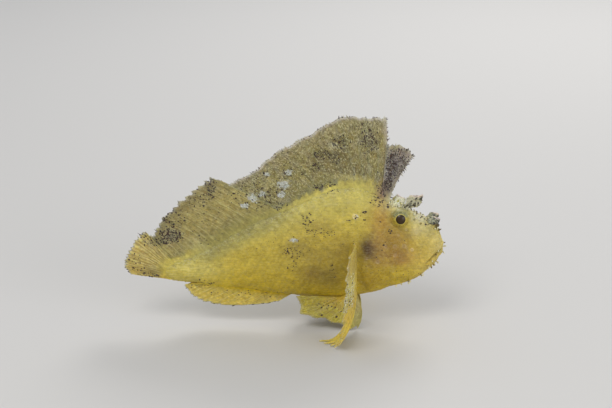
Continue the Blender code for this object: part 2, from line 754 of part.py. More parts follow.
def pelvic_fin(word, side):
    """A short fan below the belly, its first rays standing on the floor."""
    clear = GAP + FINS["pelvic_fin"][2]
    guides = []
    for (x, out), bend, tip in PELVIC_GUIDES:
        root = (x, side * out, belly_height(x, out) - clear)
        guides.append((root, to_side(bend, side), to_side(tip, side)))
    fin_node(f"pelvic_fin_{word}", Fin("pelvic_fin", guides), on_floor=True)


def smooth_shading():
    for obj in bpy.data.objects:
        obj.data.shade_smooth()
        obj.data.set_sharp_from_angle(angle=math.radians(SMOOTH_UNDER))


def main():
    clear_scene()
    nodes = body_nodes()
    chin_flaps(nodes["head"])
    cut_mouth(nodes["head"])
    cut_eyes_and_nostrils(nodes["head"])
    for node in nodes.values():
        merge_slivers(node)
        give_material(node, SKIN)
    eyes()
    skin_flaps()
    dorsal_fins()
    anal_fin()
    caudal_fin()
    for word, side in SIDES.items():
        pectoral_fin(word, side)
        pelvic_fin(word, side)
    smooth_shading()


main()
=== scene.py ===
"""Looks of the leaf scorpionfish: skin, fins, eyes, flaps, papillae and specks over the solids.

The fish faces +X, its left side is +Y, and the floor that it stands on is z = 0.
Lengths are millimetres until a mesh is made, which turns them into metres.
"""

import math

import bpy
import numpy as np
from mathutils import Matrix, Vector
from mathutils.kdtree import KDTree


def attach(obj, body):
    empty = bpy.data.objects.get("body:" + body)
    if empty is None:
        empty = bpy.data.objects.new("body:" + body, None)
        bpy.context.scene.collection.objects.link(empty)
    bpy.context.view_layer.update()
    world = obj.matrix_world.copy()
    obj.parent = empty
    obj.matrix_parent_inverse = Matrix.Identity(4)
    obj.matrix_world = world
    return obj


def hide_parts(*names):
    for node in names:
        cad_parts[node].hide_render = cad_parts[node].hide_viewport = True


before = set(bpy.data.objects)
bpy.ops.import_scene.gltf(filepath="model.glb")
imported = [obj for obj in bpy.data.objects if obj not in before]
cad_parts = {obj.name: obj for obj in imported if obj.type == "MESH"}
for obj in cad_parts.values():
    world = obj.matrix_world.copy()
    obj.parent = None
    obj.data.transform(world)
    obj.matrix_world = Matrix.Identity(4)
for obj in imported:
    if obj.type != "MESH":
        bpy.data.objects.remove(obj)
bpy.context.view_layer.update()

MM = 0.001
GAP = 0.3
SIDES = {"right": -1.0, "left": 1.0}

# Body sections, snout to tail root:
# x, height of back, height of belly, half width, level of the widest point
# (share of the depth), pinch above it and pinch below it (1 is an ellipse)
SECTIONS = np.array(
    [
        (45.10, 25.1, 23.6, 0.8, 0.50, 0.80, 0.90),
        (44.80, 26.5, 22.3, 1.7, 0.50, 0.80, 0.90),
        (44.20, 28.0, 20.9, 2.4, 0.49, 0.82, 0.90),
        (43.20, 29.7, 19.2, 3.0, 0.48, 0.85, 0.92),
        (41.60, 31.4, 17.4, 3.6, 0.46, 0.85, 0.95),
        (39.40, 32.9, 15.6, 4.1, 0.45, 0.85, 0.95),
        (36.80, 34.1, 13.9, 4.5, 0.45, 0.88, 0.95),
        (33.80, 35.4, 12.7, 4.9, 0.46, 0.92, 0.95),
        (30.50, 36.8, 11.8, 5.2, 0.46, 1.00, 0.95),
        (27.50, 38.8, 10.7, 5.4, 0.45, 1.12, 0.95),
        (23.00, 41.2, 9.6, 5.6, 0.43, 1.30, 0.92),
        (17.50, 42.0, 8.9, 5.5, 0.42, 1.40, 0.90),
        (11.50, 40.5, 8.8, 5.2, 0.42, 1.40, 0.90),
        (5.00, 37.3, 9.1, 4.6, 0.43, 1.35, 0.92),
        (-2.00, 33.9, 9.9, 3.9, 0.44, 1.28, 0.95),
        (-9.00, 30.7, 10.9, 3.2, 0.45, 1.20, 1.00),
        (-16.00, 26.4, 11.8, 2.5, 0.46, 1.10, 1.00),
        (-23.00, 22.4, 12.6, 2.0, 0.48, 1.00, 1.00),
        (-29.00, 19.9, 13.2, 1.6, 0.50, 1.00, 1.00),
        (-32.30, 18.9, 13.8, 1.35, 0.50, 1.00, 1.00),
        (-33.30, 17.9, 14.6, 1.05, 0.50, 1.00, 1.00),
    ]
)
SNOUT_POLE = (45.20, 0.0, 25.2)
TAIL_POLE = (-33.60, 0.0, 16.3)
HEAD_SECTIONS = 9
HEAD_RING_SPACING, BODY_RING_SPACING = 0.125, 0.34
AROUND = 292

# Head features, as (x, z) on the flank
EYE = (32.9, 33.1)
EYE_SIDE = 3.3
EYE_RADIUS = 2.45
EYE_DEPTH = 2.1
GAZE_UP = 8.0  # degrees
EYE_HEART = (1.9, 32.9)  # distance out and height of the point that the lids spread from
LID_ANGLE = 44.0  # degrees from the line of sight to the edge of the skin
LID_SUNK, LID_STANDS = -0.40, 0.12
ORBIT_SWELL, ORBIT_REACH = 0.75, 3.4
ORBIT_RIM, ORBIT_RIM_RADIUS, ORBIT_RIM_WIDTH = 0.45, 2.75, 0.6
BROW_CREST, BROW_TROUGH, BROW_REACH = 0.65, 0.5, 3.2
MOUTH_TIP = (45.1, 24.0)
MOUTH_CORNER = (39.9, 19.7)
MOUTH_DEPTH, MOUTH_WIDTH = 0.26, 0.14
LIP_HEIGHT, LIP_OFFSET, LIP_WIDTH = 0.38, 0.85, 0.5
NOSTRILS = [((38.7, 31.3), 0.36), ((36.9, 32.4), 0.26)]
NOSTRIL_DEPTH, NOSTRIL_RIM, NOSTRIL_RIM_WIDTH = 0.5, 0.32, 0.32
GILL_EDGE = [(27.8, 60.0), (27.2, 39.0), (24.4, 34.0), (21.2, 29.0), (21.4, 24.0)]
GILL_EDGE += [(23.2, 17.0), (25.6, 10.0), (27.0, 0.0)]
GILL_LIFT, GILL_LIFT_REACH, GILL_STEP = 0.28, 3.4, 1.6
# Low ridges: the points that each runs through, its height and its half width
HEAD_RIDGES = [
    ([(28.2, 32.0), (26.2, 26.5), (27.4, 20.5), (31.5, 16.6), (36.5, 16.6)], 0.24, 0.95),
    ([(36.6, 29.3), (33.0, 29.2), (29.6, 29.8), (27.2, 28.6)], 0.30, 0.65),
    ([(41.2, 23.4), (39.0, 19.2)], 0.35, 0.90),
    ([(41.6, 28.2), (39.2, 26.6), (38.3, 23.8), (38.9, 20.6)], 0.16, 0.40),
    ([(36.2, 27.2), (34.6, 24.2), (35.6, 21.0)], 0.10, 0.45),
]
LATERAL_LINE = [(24.5, 34.4), (18.5, 32.8), (12.0, 30.2), (5.0, 27.4), (-4.0, 23.6)]
LATERAL_LINE += [(-14.0, 20.2), (-24.0, 17.6), (-32.0, 16.6)]

# Fins. A guide ray is (root, bend, tip), and a fin's rays are spread along its guides.
# A point of a mid-line fin is (x, z) and a point of a paired fin is (x, distance out, z).
# A mid-line fin's root gives only x, and takes its height from the body.
CREST_GUIDES = [
    (30.0, (30.7, 42.4), (36.8, 51.1)),
    (29.5, (30.8, 45.2), (34.8, 52.6)),
    (29.0, (29.9, 46.5), (31.4, 53.9)),
    (28.5, (29.1, 46.5), (29.7, 53.5)),
    (27.7, (28.5, 46.5), (28.8, 53.9)),
]
SPINY_GUIDES = [
    (27.9, (29.7, 52.0), (28.6, 61.7)),
    (24.6, (24.6, 52.0), (23.0, 61.4)),
    (21.4, (19.8, 52.0), (17.3, 62.2)),
    (15.6, (12.6, 50.0), (7.3, 57.2)),
    (9.2, (4.6, 46.2), (-2.8, 50.8)),
    (3.4, (-1.8, 41.6), (-9.4, 45.0)),
    (-1.4, (-7.6, 38.6), (-15.8, 41.8)),
]
SOFT_GUIDES = [
    (-1.0, (-7.3, 39.0), (-16.3, 42.0)),
    (-2.3, (-10.8, 37.9), (-20.5, 43.9)),
    (-6.6, (-15.0, 37.4), (-23.6, 41.6)),
    (-11.0, (-19.2, 35.6), (-27.4, 38.8)),
    (-15.8, (-23.4, 33.0), (-30.9, 35.4)),
    (-20.8, (-27.4, 30.2), (-34.0, 32.2)),
    (-26.0, (-30.9, 27.0), (-35.9, 28.8)),
    (-30.2, (-33.2, 22.4), (-36.8, 26.7)),
    (-32.0, (-34.9, 22.8), (-37.9, 26.5)),
]
ANAL_GUIDES = [
    (1.8, (0.6, 8.2), (-1.4, 7.2)),
    (-1.6, (-4.0, 7.6), (-7.4, 6.2)),
    (-5.6, (-9.2, 7.4), (-13.6, 5.7)),
    (-10.4, (-14.6, 8.0), (-19.4, 5.9)),
    (-15.2, (-19.2, 9.2), (-23.6, 7.2)),
    (-19.6, (-22.8, 10.3), (-26.0, 8.9)),
    (-23.0, (-25.2, 11.4), (-27.2, 10.6)),
    (-26.4, (-27.1, 12.4), (-28.2, 12.1)),
]
CAUDAL_GUIDES = [
    ((-31.9, 19.7), (-35.2, 23.6), (-39.2, 28.1)),
    ((-33.1, 18.7), (-37.0, 22.2), (-41.4, 26.2)),
    ((-33.8, 17.5), (-38.4, 20.2), (-43.4, 23.2)),
    ((-34.0, 16.3), (-39.0, 18.0), (-44.8, 20.0)),
    ((-33.9, 15.2), (-38.8, 16.2), (-45.2, 17.3)),
    ((-33.3, 14.1), (-38.2, 14.6), (-43.8, 15.2)),
]
PECTORAL_GUIDES = [
    ((19.7, 26.4), (21.0, 15.0, 29.2), (17.9, 24.0, 28.6)),
    ((19.5, 25.0), (21.6, 17.0, 26.6), (17.1, 26.4, 23.6)),
    ((19.3, 23.7), (21.9, 18.0, 22.8), (16.8, 27.2, 18.0)),
    ((19.2, 22.6), (22.1, 17.8, 18.2), (16.1, 26.6, 12.2)),
    ((19.2, 21.6), (22.5, 17.4, 13.4), (15.6, 24.4, 6.0)),
    ((19.3, 20.7), (22.3, 16.8, 8.2), (15.0, 20.8, 1.4)),
    ((19.5, 19.8), (21.2, 15.6, 1.4), (12.6, 16.8, 0.3)),
    ((19.8, 19.0), (19.8, 13.2, -1.6), (10.0, 13.2, 0.3)),
]
PELVIC_GUIDES = [
    ((20.9, 2.9), (23.8, 4.0, 4.6), (21.0, 4.6, 0.3)),
    ((20.0, 2.9), (21.0, 5.0, 4.4), (18.2, 5.4, 0.3)),
    ((19.0, 2.8), (17.2, 5.0, 5.2), (13.6, 5.4, 2.8)),
    ((18.0, 2.6), (14.0, 4.4, 6.0), (8.6, 4.8, 3.7)),
    ((17.0, 2.3), (11.6, 3.4, 6.8), (4.8, 3.8, 4.8)),
    ((15.8, 1.9), (10.4, 2.2, 9.5), (3.6, 2.3, 9.4)),
]
# Each fin: rays, notch between their tips, sideways sway, extra notch of the last rays,
# height and half width of a ray's ridge, share of its length where it forks, and how far
# the fork opens (share of the room between rays)
FINS = {
    "dorsal_crest": (6, 0.02, 0.0, 0.0, 0.16, 0.34, 1.0, 0.0),
    "dorsal_fin_spiny": (12, 0.022, 0.9, 0.0, 0.16, 0.34, 1.0, 0.0),
    "dorsal_fin_soft": (17, 0.04, 0.9, 0.0, 0.12, 0.19, 0.30, 0.25),
    "anal_fin": (14, 0.05, -0.4, 0.0, 0.12, 0.19, 0.30, 0.24),
    "caudal_fin": (17, 0.04, 0.7, 0.0, 0.12, 0.17, 0.25, 0.25),
    "pectoral_fin": (14, 0.06, 0.0, 0.12, 0.26, 0.30, 1.0, 0.0),
    "pelvic_fin": (6, 0.09, 0.0, 0.0, 0.24, 0.30, 0.35, 0.24),
}
# Edges that slip past the next fin, by how far they lean sideways: first edge, last edge
EDGE_LEANS = {"dorsal_crest": (0.0, -0.30), "dorsal_fin_soft": (0.25, 0.25)}
WEB_HALF = 0.13
TIP_WANDER = 0.010  # how much ray tips differ in length, as a share of it
# Thickening of a fin's foot, and the reach over which it thins out upwards
FLESH = {"dorsal": (0.78, 1.6), "caudal": (0.85, 2.2), "anal": (0.70, 1.5)}
PAIRED_FLESH = (0.42, 1.2)
FOOT_DEPTH = 1.0  # depth under the skin at which the foot is thickest
SUNK = 1.9
CELLS = {"dorsal_fin_soft": 0.17, "anal_fin": 0.17, "caudal_fin": 0.17}  # size of a grid cell
CELL = 0.2
FOOT_ROWS = 7  # rows of a fin's grid in its sunk foot
RIM_REACH = 0.3  # how far the closed rim stands out past the first and last ray
JOINT_LENGTH, JOINT_DEPTH = 0.62, 0.18  # joints of the branched rays
INNER_FORK, INNER_SPREAD = 0.72, 0.35  # where a fork's inner pair starts, and its spread
PAIRED_CLEAR = GAP + 0.32  # room between the body and a paired fin's root
# Rows and columns of a fin's and a leaf's grid that papillae and specks may stand on
FIN_SHOWN = (slice(FOOT_ROWS + 1, -1), slice(2, -2))
LEAF_SHOWN = (slice(6, -1), slice(1, -1))

BROW_FLAPS = {
    "right": ((34.5, 35.3), (0.74, -0.16, 0.72), 6.8, 4.0),
    "left": ((33.0, 35.5), (-0.20, 0.30, 0.95), 3.2, 4.4),
}
SNOUT_FLAP = ((41.0, 31.4), (0.88, 0.12, 0.38), 3.1, 2.6)


def srgb(*colour):
    """A colour given as it shows on a screen, 0 to 255, as linear light."""
    share = np.array(colour, float) / 255
    return np.where(share < 0.04045, share / 12.92, ((share + 0.055) / 1.055) ** 2.4)


def ease(value, start, end):
    """0 before start, 1 after end, smooth between them."""
    share = np.clip((value - start) / (end - start), 0.0, 1.0)
    return share * share * (3.0 - 2.0 * share)


def hump(distance, width):
    """1 at distance 0, falling smoothly to nothing past the width."""
    return np.exp(-((distance / width) ** 2))


def unit(vectors):
    return vectors / np.maximum(np.linalg.norm(vectors, axis=-1, keepdims=True), 1e-9)


def mix(first, second, share):
    """This share of the second colour, the rest of the first."""
    share = np.asarray(share)[..., None]
    return first * (1 - share) + second * share


class Waves:
    """Smooth noise, mostly between -1 and 1: a sum of sine waves in random directions."""

    def __init__(self, size, seed, count=30):
        draw = np.random.default_rng(seed)
        ways = unit(draw.normal(size=(count, 3)))
        self.ways = ways * (2 * math.pi / size) * draw.uniform(0.6, 1.7, (count, 1))
        self.phases = draw.uniform(0, 2 * math.pi, count)

    def __call__(self, points):
        return np.sin(points @ self.ways.T + self.phases).sum(-1) / math.sqrt(len(self.phases))


def along_rows(rows, place):
    """Row number place (fractions are fine) on a smooth curve through the rows."""
    rows, place = np.asarray(rows, float), np.asarray(place, float)
    first = np.clip(np.floor(place).astype(int), 0, len(rows) - 2)
    t = (place - first).reshape(place.shape + (1,) * (rows.ndim - 1))
    start, end = rows[first], rows[first + 1]
    into = (end - rows[np.maximum(first - 1, 0)]) / 2
    out = (rows[np.minimum(first + 2, len(rows) - 1)] - start) / 2
    return (
        start * (2 * t**3 - 3 * t**2 + 1)
        + into * (t**3 - 2 * t**2 + t)
        + end * (3 * t**2 - 2 * t**3)
        + out * (t**3 - t**2)
    )


def distance_to_path(x, z, path):
    """How far each (x, z) is from a chain of straight lines."""
    nearest = np.full(np.shape(x), np.inf)
    for (x0, z0), (x1, z1) in zip(path, path[1:]):
        dx, dz = x1 - x0, z1 - z0
        share = np.clip(((x - x0) * dx + (z - z0) * dz) / (dx * dx + dz * dz), 0.0, 1.0)
        nearest = np.minimum(nearest, np.hypot(x - x0 - share * dx, z - z0 - share * dz))
    return nearest


PROFILE_PLACES = np.linspace(0, len(SECTIONS) - 1, 400)
PROFILE = along_rows(SECTIONS, PROFILE_PLACES)


def place_at(x):
    """Section number at x."""
    return np.interp(-np.asarray(x, float), -PROFILE[:, 0], PROFILE_PLACES)


def back_height(x):
    return along_rows(SECTIONS[:, 1], place_at(x))


def belly_height(x, out=0.0):
    """Height of the underside at x, this far out from the mid-plane."""
    section = along_rows(SECTIONS, place_at(x))
    top, bottom, half, level, pinch = (section[..., i] for i in (1, 2, 3, 4, 6))
    across = np.minimum(1.0, out / half) ** (1.0 / pinch)
    widest = bottom + level * (top - bottom)
    return widest - (widest - bottom) * np.sqrt(1.0 - across * across)


def plain_points(place, angle):
    """Points of the sections, angle 0 at the back and pi at the belly, positive on the left."""
    x, top, bottom, half, level, pinch_top, pinch_low = np.moveaxis(
        along_rows(SECTIONS, place), -1, 0
    )
    widest = bottom + level * (top - bottom)
    upright, across = np.cos(angle), np.sin(angle)
    reach = np.where(upright > 0, top - widest, widest - bottom)
    pinch = np.where(upright > 0, pinch_top, pinch_low)
    y = half * np.sign(across) * np.abs(across) ** pinch
    return np.stack((x + 0 * angle, y, widest + reach * upright), -1)


def skin_normals(place, angle):
    """Outward normals of the plain sections."""
    step = 0.02
    run = plain_points(place + step, angle) - plain_points(place - step, angle)
    turn = plain_points(place, angle - step) - plain_points(place, angle + step)
    return unit(np.cross(run, turn))


def gill_edge_x(z):
    """x of the gill cover's rear edge at height z."""
    return np.interp(-z, [-point[1] for point in GILL_EDGE], [point[0] for point in GILL_EDGE])


def mouth_coordinates(x, z):
    """Share of the way from the mouth's tip to its corner, and the distance off that line."""
    dx, dz = MOUTH_CORNER[0] - MOUTH_TIP[0], MOUTH_CORNER[1] - MOUTH_TIP[1]
    ahead, above = x - MOUTH_TIP[0], z - MOUTH_TIP[1]
    share = (ahead * dx + above * dz) / (dx * dx + dz * dz)
    return share, (ahead * dz - above * dx) / math.hypot(dx, dz)


def relief(points):
    """How far the skin stands out from the plain section: the solids' own relief."""
    x, y, z = np.moveaxis(points, -1, 0)
    flank = ease(np.abs(y), 0.8, 2.6)
    eye_distance = np.hypot(x - EYE[0], z - EYE[1])
    out = flank * ORBIT_SWELL * hump(eye_distance, ORBIT_REACH)
    out += flank * ORBIT_RIM * hump(eye_distance - ORBIT_RIM_RADIUS, ORBIT_RIM_WIDTH)
    brow = ease(z, EYE[1] + 0.5, EYE[1] + 2.4) * hump(x - EYE[0], BROW_REACH)
    out += brow * (flank * BROW_CREST - (1.0 - flank) * BROW_TROUGH)
    share, off = mouth_coordinates(x, z)
    lips = 1.0 - ease(share, 0.85, 1.15)
    out += lips * LIP_HEIGHT * hump(np.abs(off) - LIP_OFFSET, LIP_WIDTH)
    for path, height, width in HEAD_RIDGES:
        out += flank * height * hump(distance_to_path(x, z, path), width)
    for (nostril_x, nostril_z), radius in NOSTRILS:
        rim = np.hypot(x - nostril_x, z - nostril_z) - radius
        out += flank * NOSTRIL_RIM * hump(rim - 0.1, NOSTRIL_RIM_WIDTH)
    ahead = x - gill_edge_x(z)
    out += flank * GILL_LIFT * hump(ahead, GILL_LIFT_REACH) * ease(ahead, -GILL_STEP, 0.0)
    return out


def hollows(points):
    """How deep the mouth's line, the nostrils and the gill slit are cut into the skin."""
    x, y, z = np.moveaxis(points, -1, 0)
    share, off = mouth_coordinates(x, z)
    deep = MOUTH_DEPTH * hump(off, MOUTH_WIDTH) * (1.0 - ease(share, 0.8, 1.02))
    for (nostril_x, nostril_z), radius in NOSTRILS:
        pit = 1.0 - ease(np.hypot(x - nostril_x, z - nostril_z), radius * 0.5, radius)
        deep += NOSTRIL_DEPTH * pit * ease(np.abs(y), 0.8, 2.0)
    behind = gill_edge_x(z) - x
    slit = hump(behind - GILL_STEP, 0.35) * ease(z, 11.0, 14.0) * (1.0 - ease(z, 31.0, 35.0))
    return deep + 0.08 * slit


FINE, COARSE, FOLDS = Waves(0.9, 11), Waves(4.5, 12), Waves(2.2, 13)


def skin_texture(points):
    """Small unevenness of the skin, and the pores' row along the flank."""
    x, y, z = np.moveaxis(points, -1, 0)
    stretched = points * (0.55, 1.0, 1.0)
    out = 0.030 * FINE(points) + 0.06 * COARSE(points) + 0.035 * FOLDS(stretched)
    off_line = distance_to_path(x, z, LATERAL_LINE)
    beads = 0.5 + 0.5 * np.cos(2 * math.pi * x / 1.6)
    out += ease(np.abs(y), 0.5, 1.0) * hump(off_line, 0.32) * (0.05 + 0.14 * beads**3)
    out += 0.03 * muscle_bands(points)
    return out


def round_eyes(points):
    """Draws the skin up to a lid round each eyeball, and tucks it under what shows of it."""
    for side in SIDES.values():
        heart = np.array((EYE[0], side * EYE_HEART[0], EYE_HEART[1]))
        ball = np.array((EYE[0], side * EYE_SIDE, EYE[1]))
        radii = np.array((EYE_RADIUS, EYE_DEPTH, EYE_RADIUS))
        rays = points - heart
        far = np.linalg.norm(rays, axis=-1)
        ways = rays / far[..., None]
        start, run = (heart - ball) / radii, ways / radii
        a, b, c = (run * run).sum(-1), run @ start, start @ start - 1.0
        surface = (-b + np.sqrt(b * b - a * c)) / a
        sight = unit(ball + (0.0, side * EYE_DEPTH, 0.0) - heart)
        angle = np.degrees(np.arccos(np.clip(ways @ sight, -1.0, 1.0)))
        stand = LID_SUNK + (LID_STANDS - LID_SUNK) * ease(angle, LID_ANGLE - 3, LID_ANGLE + 5)
        stand += 0.10 * hump(angle - LID_ANGLE - 8, 5)
        hold = 1.0 - ease(angle, LID_ANGLE + 8, LID_ANGLE + 40)
        target = np.maximum(surface + stand, 0.0)
        new = far + (target - far) * hold
        points = heart + ways * new[..., None]
    return points


def skin_points(place, angle):
    """Points of the finished skin, by section number and angle."""
    plain = plain_points(place, angle)
    normals = skin_normals(place, angle)
    out = relief(plain) + skin_texture(plain) - hollows(plain)
    return round_eyes(plain + normals * out[..., None]), normals


def on_flank(x, z, side):
    """The skin's point and normal at (x, z) on one flank."""
    section = along_rows(SECTIONS, place_at(x))
    top, bottom, level = section[..., 1], section[..., 2], section[..., 4]
    widest = bottom + level * (top - bottom)
    reach = np.where(z > widest, top - widest, widest - bottom)
    angle = side * np.arccos(np.clip((z - widest) / reach, -1.0, 1.0))
    plain = plain_points(place_at(x), angle)
    normal = skin_normals(place_at(x), angle)
    return plain + normal * relief(plain)[..., None], normal


# Colours

PALE = srgb(202, 202, 150)
FLECK = srgb(198, 197, 158)
WHITE = srgb(200, 202, 196)
DARK = srgb(44, 34, 32)

# Soft marks on the flanks: x, z, half sizes, tilt in degrees, screen colour, strength
MARKS = [
    (33.2, 22.6, 6.0, 3.2, -20, (146, 94, 52), 0.66),
    (32.6, 20.6, 4.2, 0.9, 12, (140, 92, 52), 0.45),
    (31.0, 27.8, 5.0, 4.8, 0, (130, 94, 0), 0.74),
    (23.9, 24.7, 2.5, 3.3, 10, (62, 34, 8), 0.95),
    (23.8, 24.7, 1.7, 2.4, 10, (50, 24, 2), 0.80),
    (26.6, 21.2, 3.6, 2.4, 30, (124, 84, 48), 0.45),
    (27.5, 33.4, 3.4, 4.6, 0, (160, 108, 6), 0.62),
    (27.7, 39.8, 1.7, 2.8, 0, (146, 114, 92), 0.75),
    (40.2, 30.8, 3.2, 3.2, 0, (198, 192, 140), 0.45),
    (41.6, 29.2, 1.8, 1.8, 0, (150, 134, 60), 0.60),
    (38.4, 33.0, 2.2, 1.2, 0, (204, 200, 182), 0.55),
    (37.2, 29.6, 1.6, 1.6, 0, (206, 190, 140), 0.50),
    (38.8, 20.2, 3.4, 2.6, 0, (216, 190, 84), 0.60),
    (39.6, 32.6, 1.5, 1.2, 0, (208, 204, 168), 0.40),
    (-3.6, 42.2, 2.6, 1.8, 0, (182, 176, 116), 0.40),
    (43.8, 25.4, 1.6, 3.0, 20, (206, 188, 116), 0.50),
    (10.4, 31.2, 3.4, 2.0, 10, (146, 126, 56), 0.50),
    (-23.0, 17.6, 5.0, 2.4, 0, (216, 202, 108), 0.60),
    (36.0, 36.2, 4.6, 1.6, -20, (210, 206, 166), 0.60),
    (31.9, 38.2, 2.4, 2.2, 0, (226, 225, 190), 0.85),
    (8.2, 16.8, 3.4, 2.8, 0, (120, 92, 46), 0.66),
    (13.6, 16.0, 3.4, 3.6, 0, (118, 102, 48), 0.66),
    (24.5, 15.0, 6.5, 4.2, 0, (156, 124, 8), 0.60),
    (2.0, 14.0, 8.0, 3.4, 0, (186, 160, 40), 0.55),
    (17.0, 24.5, 4.5, 4.0, 0, (150, 126, 60), 0.50),
    (9.0, 22.4, 5.6, 3.4, 10, (164, 140, 62), 0.40),
    (4.0, 25.0, 5.0, 3.0, 25, (152, 132, 62), 0.50),
    (34.8, 30.6, 1.6, 0.9, 0, (206, 184, 60), 0.50),
    (14.0, 53.3, 1.7, 1.0, 20, (206, 204, 172), 0.60),
    (20.6, 60.0, 3.4, 1.4, 0, (122, 118, 68), 0.50),
    (16.1, 45.8, 5.4, 2.0, 0, (104, 94, 48), 0.70),
    (17.0, 44.4, 5.0, 0.9, -6, (186, 180, 120), 0.55),
    (-24.0, 24.6, 3.6, 1.4, -30, (184, 178, 122), 0.50),
    (28.4, 51.5, 0.9, 3.4, 0, (146, 140, 92), 0.60),
    (31.2, 53.0, 2.0, 0.9, 0, (150, 146, 96), 0.70),
    (35.0, 49.6, 1.2, 1.6, -30, (164, 160, 160), 0.50),
    (31.6, 47.6, 2.4, 4.6, -20, (108, 100, 104), 0.55),
    (29.4, 41.4, 1.5, 2.4, 0, (84, 68, 62), 0.75),
    (-31.8, 26.8, 2.8, 2.5, 10, (130, 124, 110), 0.60),
    (-32.4, 31.4, 3.2, 2.4, 30, (116, 110, 74), 0.30),
    (-37.4, 24.6, 2.4, 1.6, 0, (118, 110, 82), 0.50),
    (-20.6, 41.4, 1.8, 2.6, 0, (92, 82, 62), 0.40),
    (-37.4, 16.2, 3.0, 1.2, 0, (108, 90, 44), 0.60),
    (24.0, 55.8, 3.2, 3.0, 0, (118, 110, 92), 0.35),
    (10.4, 49.6, 2.6, 2.4, 0, (108, 102, 72), 0.35),
    (15.0, 50.0, 5.4, 3.8, 0, (96, 90, 54), 0.55),
    (26.6, 26.0, 2.2, 4.6, 10, (150, 112, 72), 0.40),
    (33.6, 27.6, 3.4, 2.4, 0, (168, 134, 60), 0.35),
    (22.8, 58.4, 2.2, 1.5, 0, (136, 136, 86), 0.40),
]
# Pores on the cheek, each a pale ring: x, z, radius
PORES = [(31.4, 25.2, 0.40), (34.1, 25.3, 0.42), (28.8, 25.3, 0.32), (36.3, 24.2, 0.30)]
PORES += [(26.6, 20.9, 0.40), (31.5, 22.6, 0.30), (24.3, 24.0, 0.30), (20.3, 33.9, 0.55)]
PORES += [(34.6, 30.0, 0.24), (32.4, 28.4, 0.22), (23.5, 22.0, 0.26)]
# White patches with ragged edges: x, z, half sizes
PATCHES = [
    (1.6, 45.7, 1.4, 0.9),
    (0.3, 42.2, 1.9, 1.4),
    (-0.5, 39.1, 1.2, 1.0),
    (-8.4, 38.1, 1.5, 1.4),
    (-5.7, 39.3, 1.2, 0.9),
    (-10.7, 35.8, 1.2, 0.8),
    (-4.4, 45.1, 0.9, 0.6),
    (3.0, 26.8, 1.2, 0.55),
    (20.9, 34.0, 0.42, 0.3),
]
BLOTCHES, STREAKS, FLECKS = Waves(7.0, 21), Waves(1.5, 22), Waves(0.7, 23)
MOTTLES, GRAIN_LINES, RIPPLES = Waves(3.2, 24), Waves(0.8, 25), Waves(3.0, 31)


def flat_distance(x, z, mark):
    """Distance from a mark's centre, 1 on its rim."""
    tilt = math.radians(mark[4]) if len(mark) > 4 else 0.0
    dx, dz = x - mark[0], z - mark[1]
    along = dx * math.cos(tilt) + dz * math.sin(tilt)
    across = dz * math.cos(tilt) - dx * math.sin(tilt)
    return np.hypot(along / mark[2], across / mark[3])


def marked(colour, points):
    """The colour with the soft marks and white patches on it."""
    x, z = points[..., 0], points[..., 2]
    uneven = 0.18 * STREAKS(points)
    for pore_x, pore_z, radius in PORES:
        off = np.hypot(x - pore_x, z - pore_z)
        colour = mix(colour, srgb(222, 206, 158), 0.9 * hump(off - radius, 0.19))
        colour = mix(colour, srgb(140, 104, 52), 0.50 * hump(off, radius * 0.5))
    for mark in MARKS:
        share = mark[6] * hump(flat_distance(x, z, mark) + uneven * 0.5, 1.0)
        colour = mix(colour, srgb(*mark[5]), share)
    return mix(colour, WHITE, 0.66 * patch_share(points))


def patch_share(points):
    """How much of a white patch there is at each point."""
    x, z = points[..., 0], points[..., 2]
    ragged = 0.14 * STREAKS(points) + 0.22 * FLECKS(points)
    share = 0.0 * x
    for patch in PATCHES:
        share = np.maximum(share, 1.0 - ease(flat_distance(x, z, patch) + ragged, 0.2, 1.3))
    return share


def body_colour(points):
    """Yellow skin: lighter on the back, golden below, paler towards the tail."""
    x, z = points[..., 0], points[..., 2]
    back, belly = back_height(x), belly_height(x)
    rise = (z - belly) / (back - belly)
    colour = mix(srgb(193, 165, 16), srgb(190, 167, 56), ease(rise, 0.0, 0.45))
    colour = mix(colour, srgb(190, 177, 88), ease(rise, 0.55, 1.0))
    colour = mix(colour, srgb(196, 180, 84), 0.6 * (1.0 - ease(x, -30.0, -10.0)))
    colour = mix(colour, srgb(200, 176, 86), 0.6 * ease(x, 34.0, 42.0))
    near_back = ease(z - back, -7.0, -0.5) * (1.0 - ease(x, -6.0, 8.0)) * ease(x, -30.0, -20.0)
    colour = mix(colour, srgb(144, 136, 72), 0.9 * near_back)
    colour = marked(colour, points)
    lid = hump(np.hypot(x - EYE[0], z - EYE[1]) - 2.45, 0.42) * ease(z, EYE[1] + 0.2, EYE[1] + 1.6)
    colour = mix(colour, srgb(122, 124, 84), 0.65 * lid)
    bands = muscle_bands(points)
    grain = 0.05 * BLOTCHES(points) + 0.04 * STREAKS(points) + 0.03 * FLECKS(points)
    grain += 0.05 * GRAIN_LINES(points * (0.16, 1.0, 1.0))
    return colour * (1.0 + grain + 0.05 * bands)[..., None]


def muscle_bands(points):
    """The flank's muscle blocks, -1 to 1: chevrons that point forward, fading on the head."""
    x, z = points[..., 0], points[..., 2]
    middle = np.interp(x, *np.array(LATERAL_LINE[::-1]).T)
    phase = 2 * math.pi * (x + 0.75 * np.abs(z - middle)) / 2.1
    return np.sin(phase + 0.5 * STREAKS(points)) * (1.0 - ease(x, 2.0, 20.0))


def shade_mouth_and_nostrils(colour, points):
    """Paints shade into the hollows of the mouth's line and the nostrils."""
    x, z = points[..., 0], points[..., 2]
    share, off = mouth_coordinates(x, z)
    line = hump(off, 0.2) * (1.0 - ease(share, 0.92, 1.06))
    for (nostril_x, nostril_z), radius in NOSTRILS:
        away = np.hypot(x - nostril_x, z - nostril_z)
        line = np.maximum(line, 1.0 - ease(away, 0.5 * radius, radius))
    # painted shade: the mouth's groove and the nostril pits are darkened
    return mix(colour, srgb(110, 84, 40), 0.24 * line)


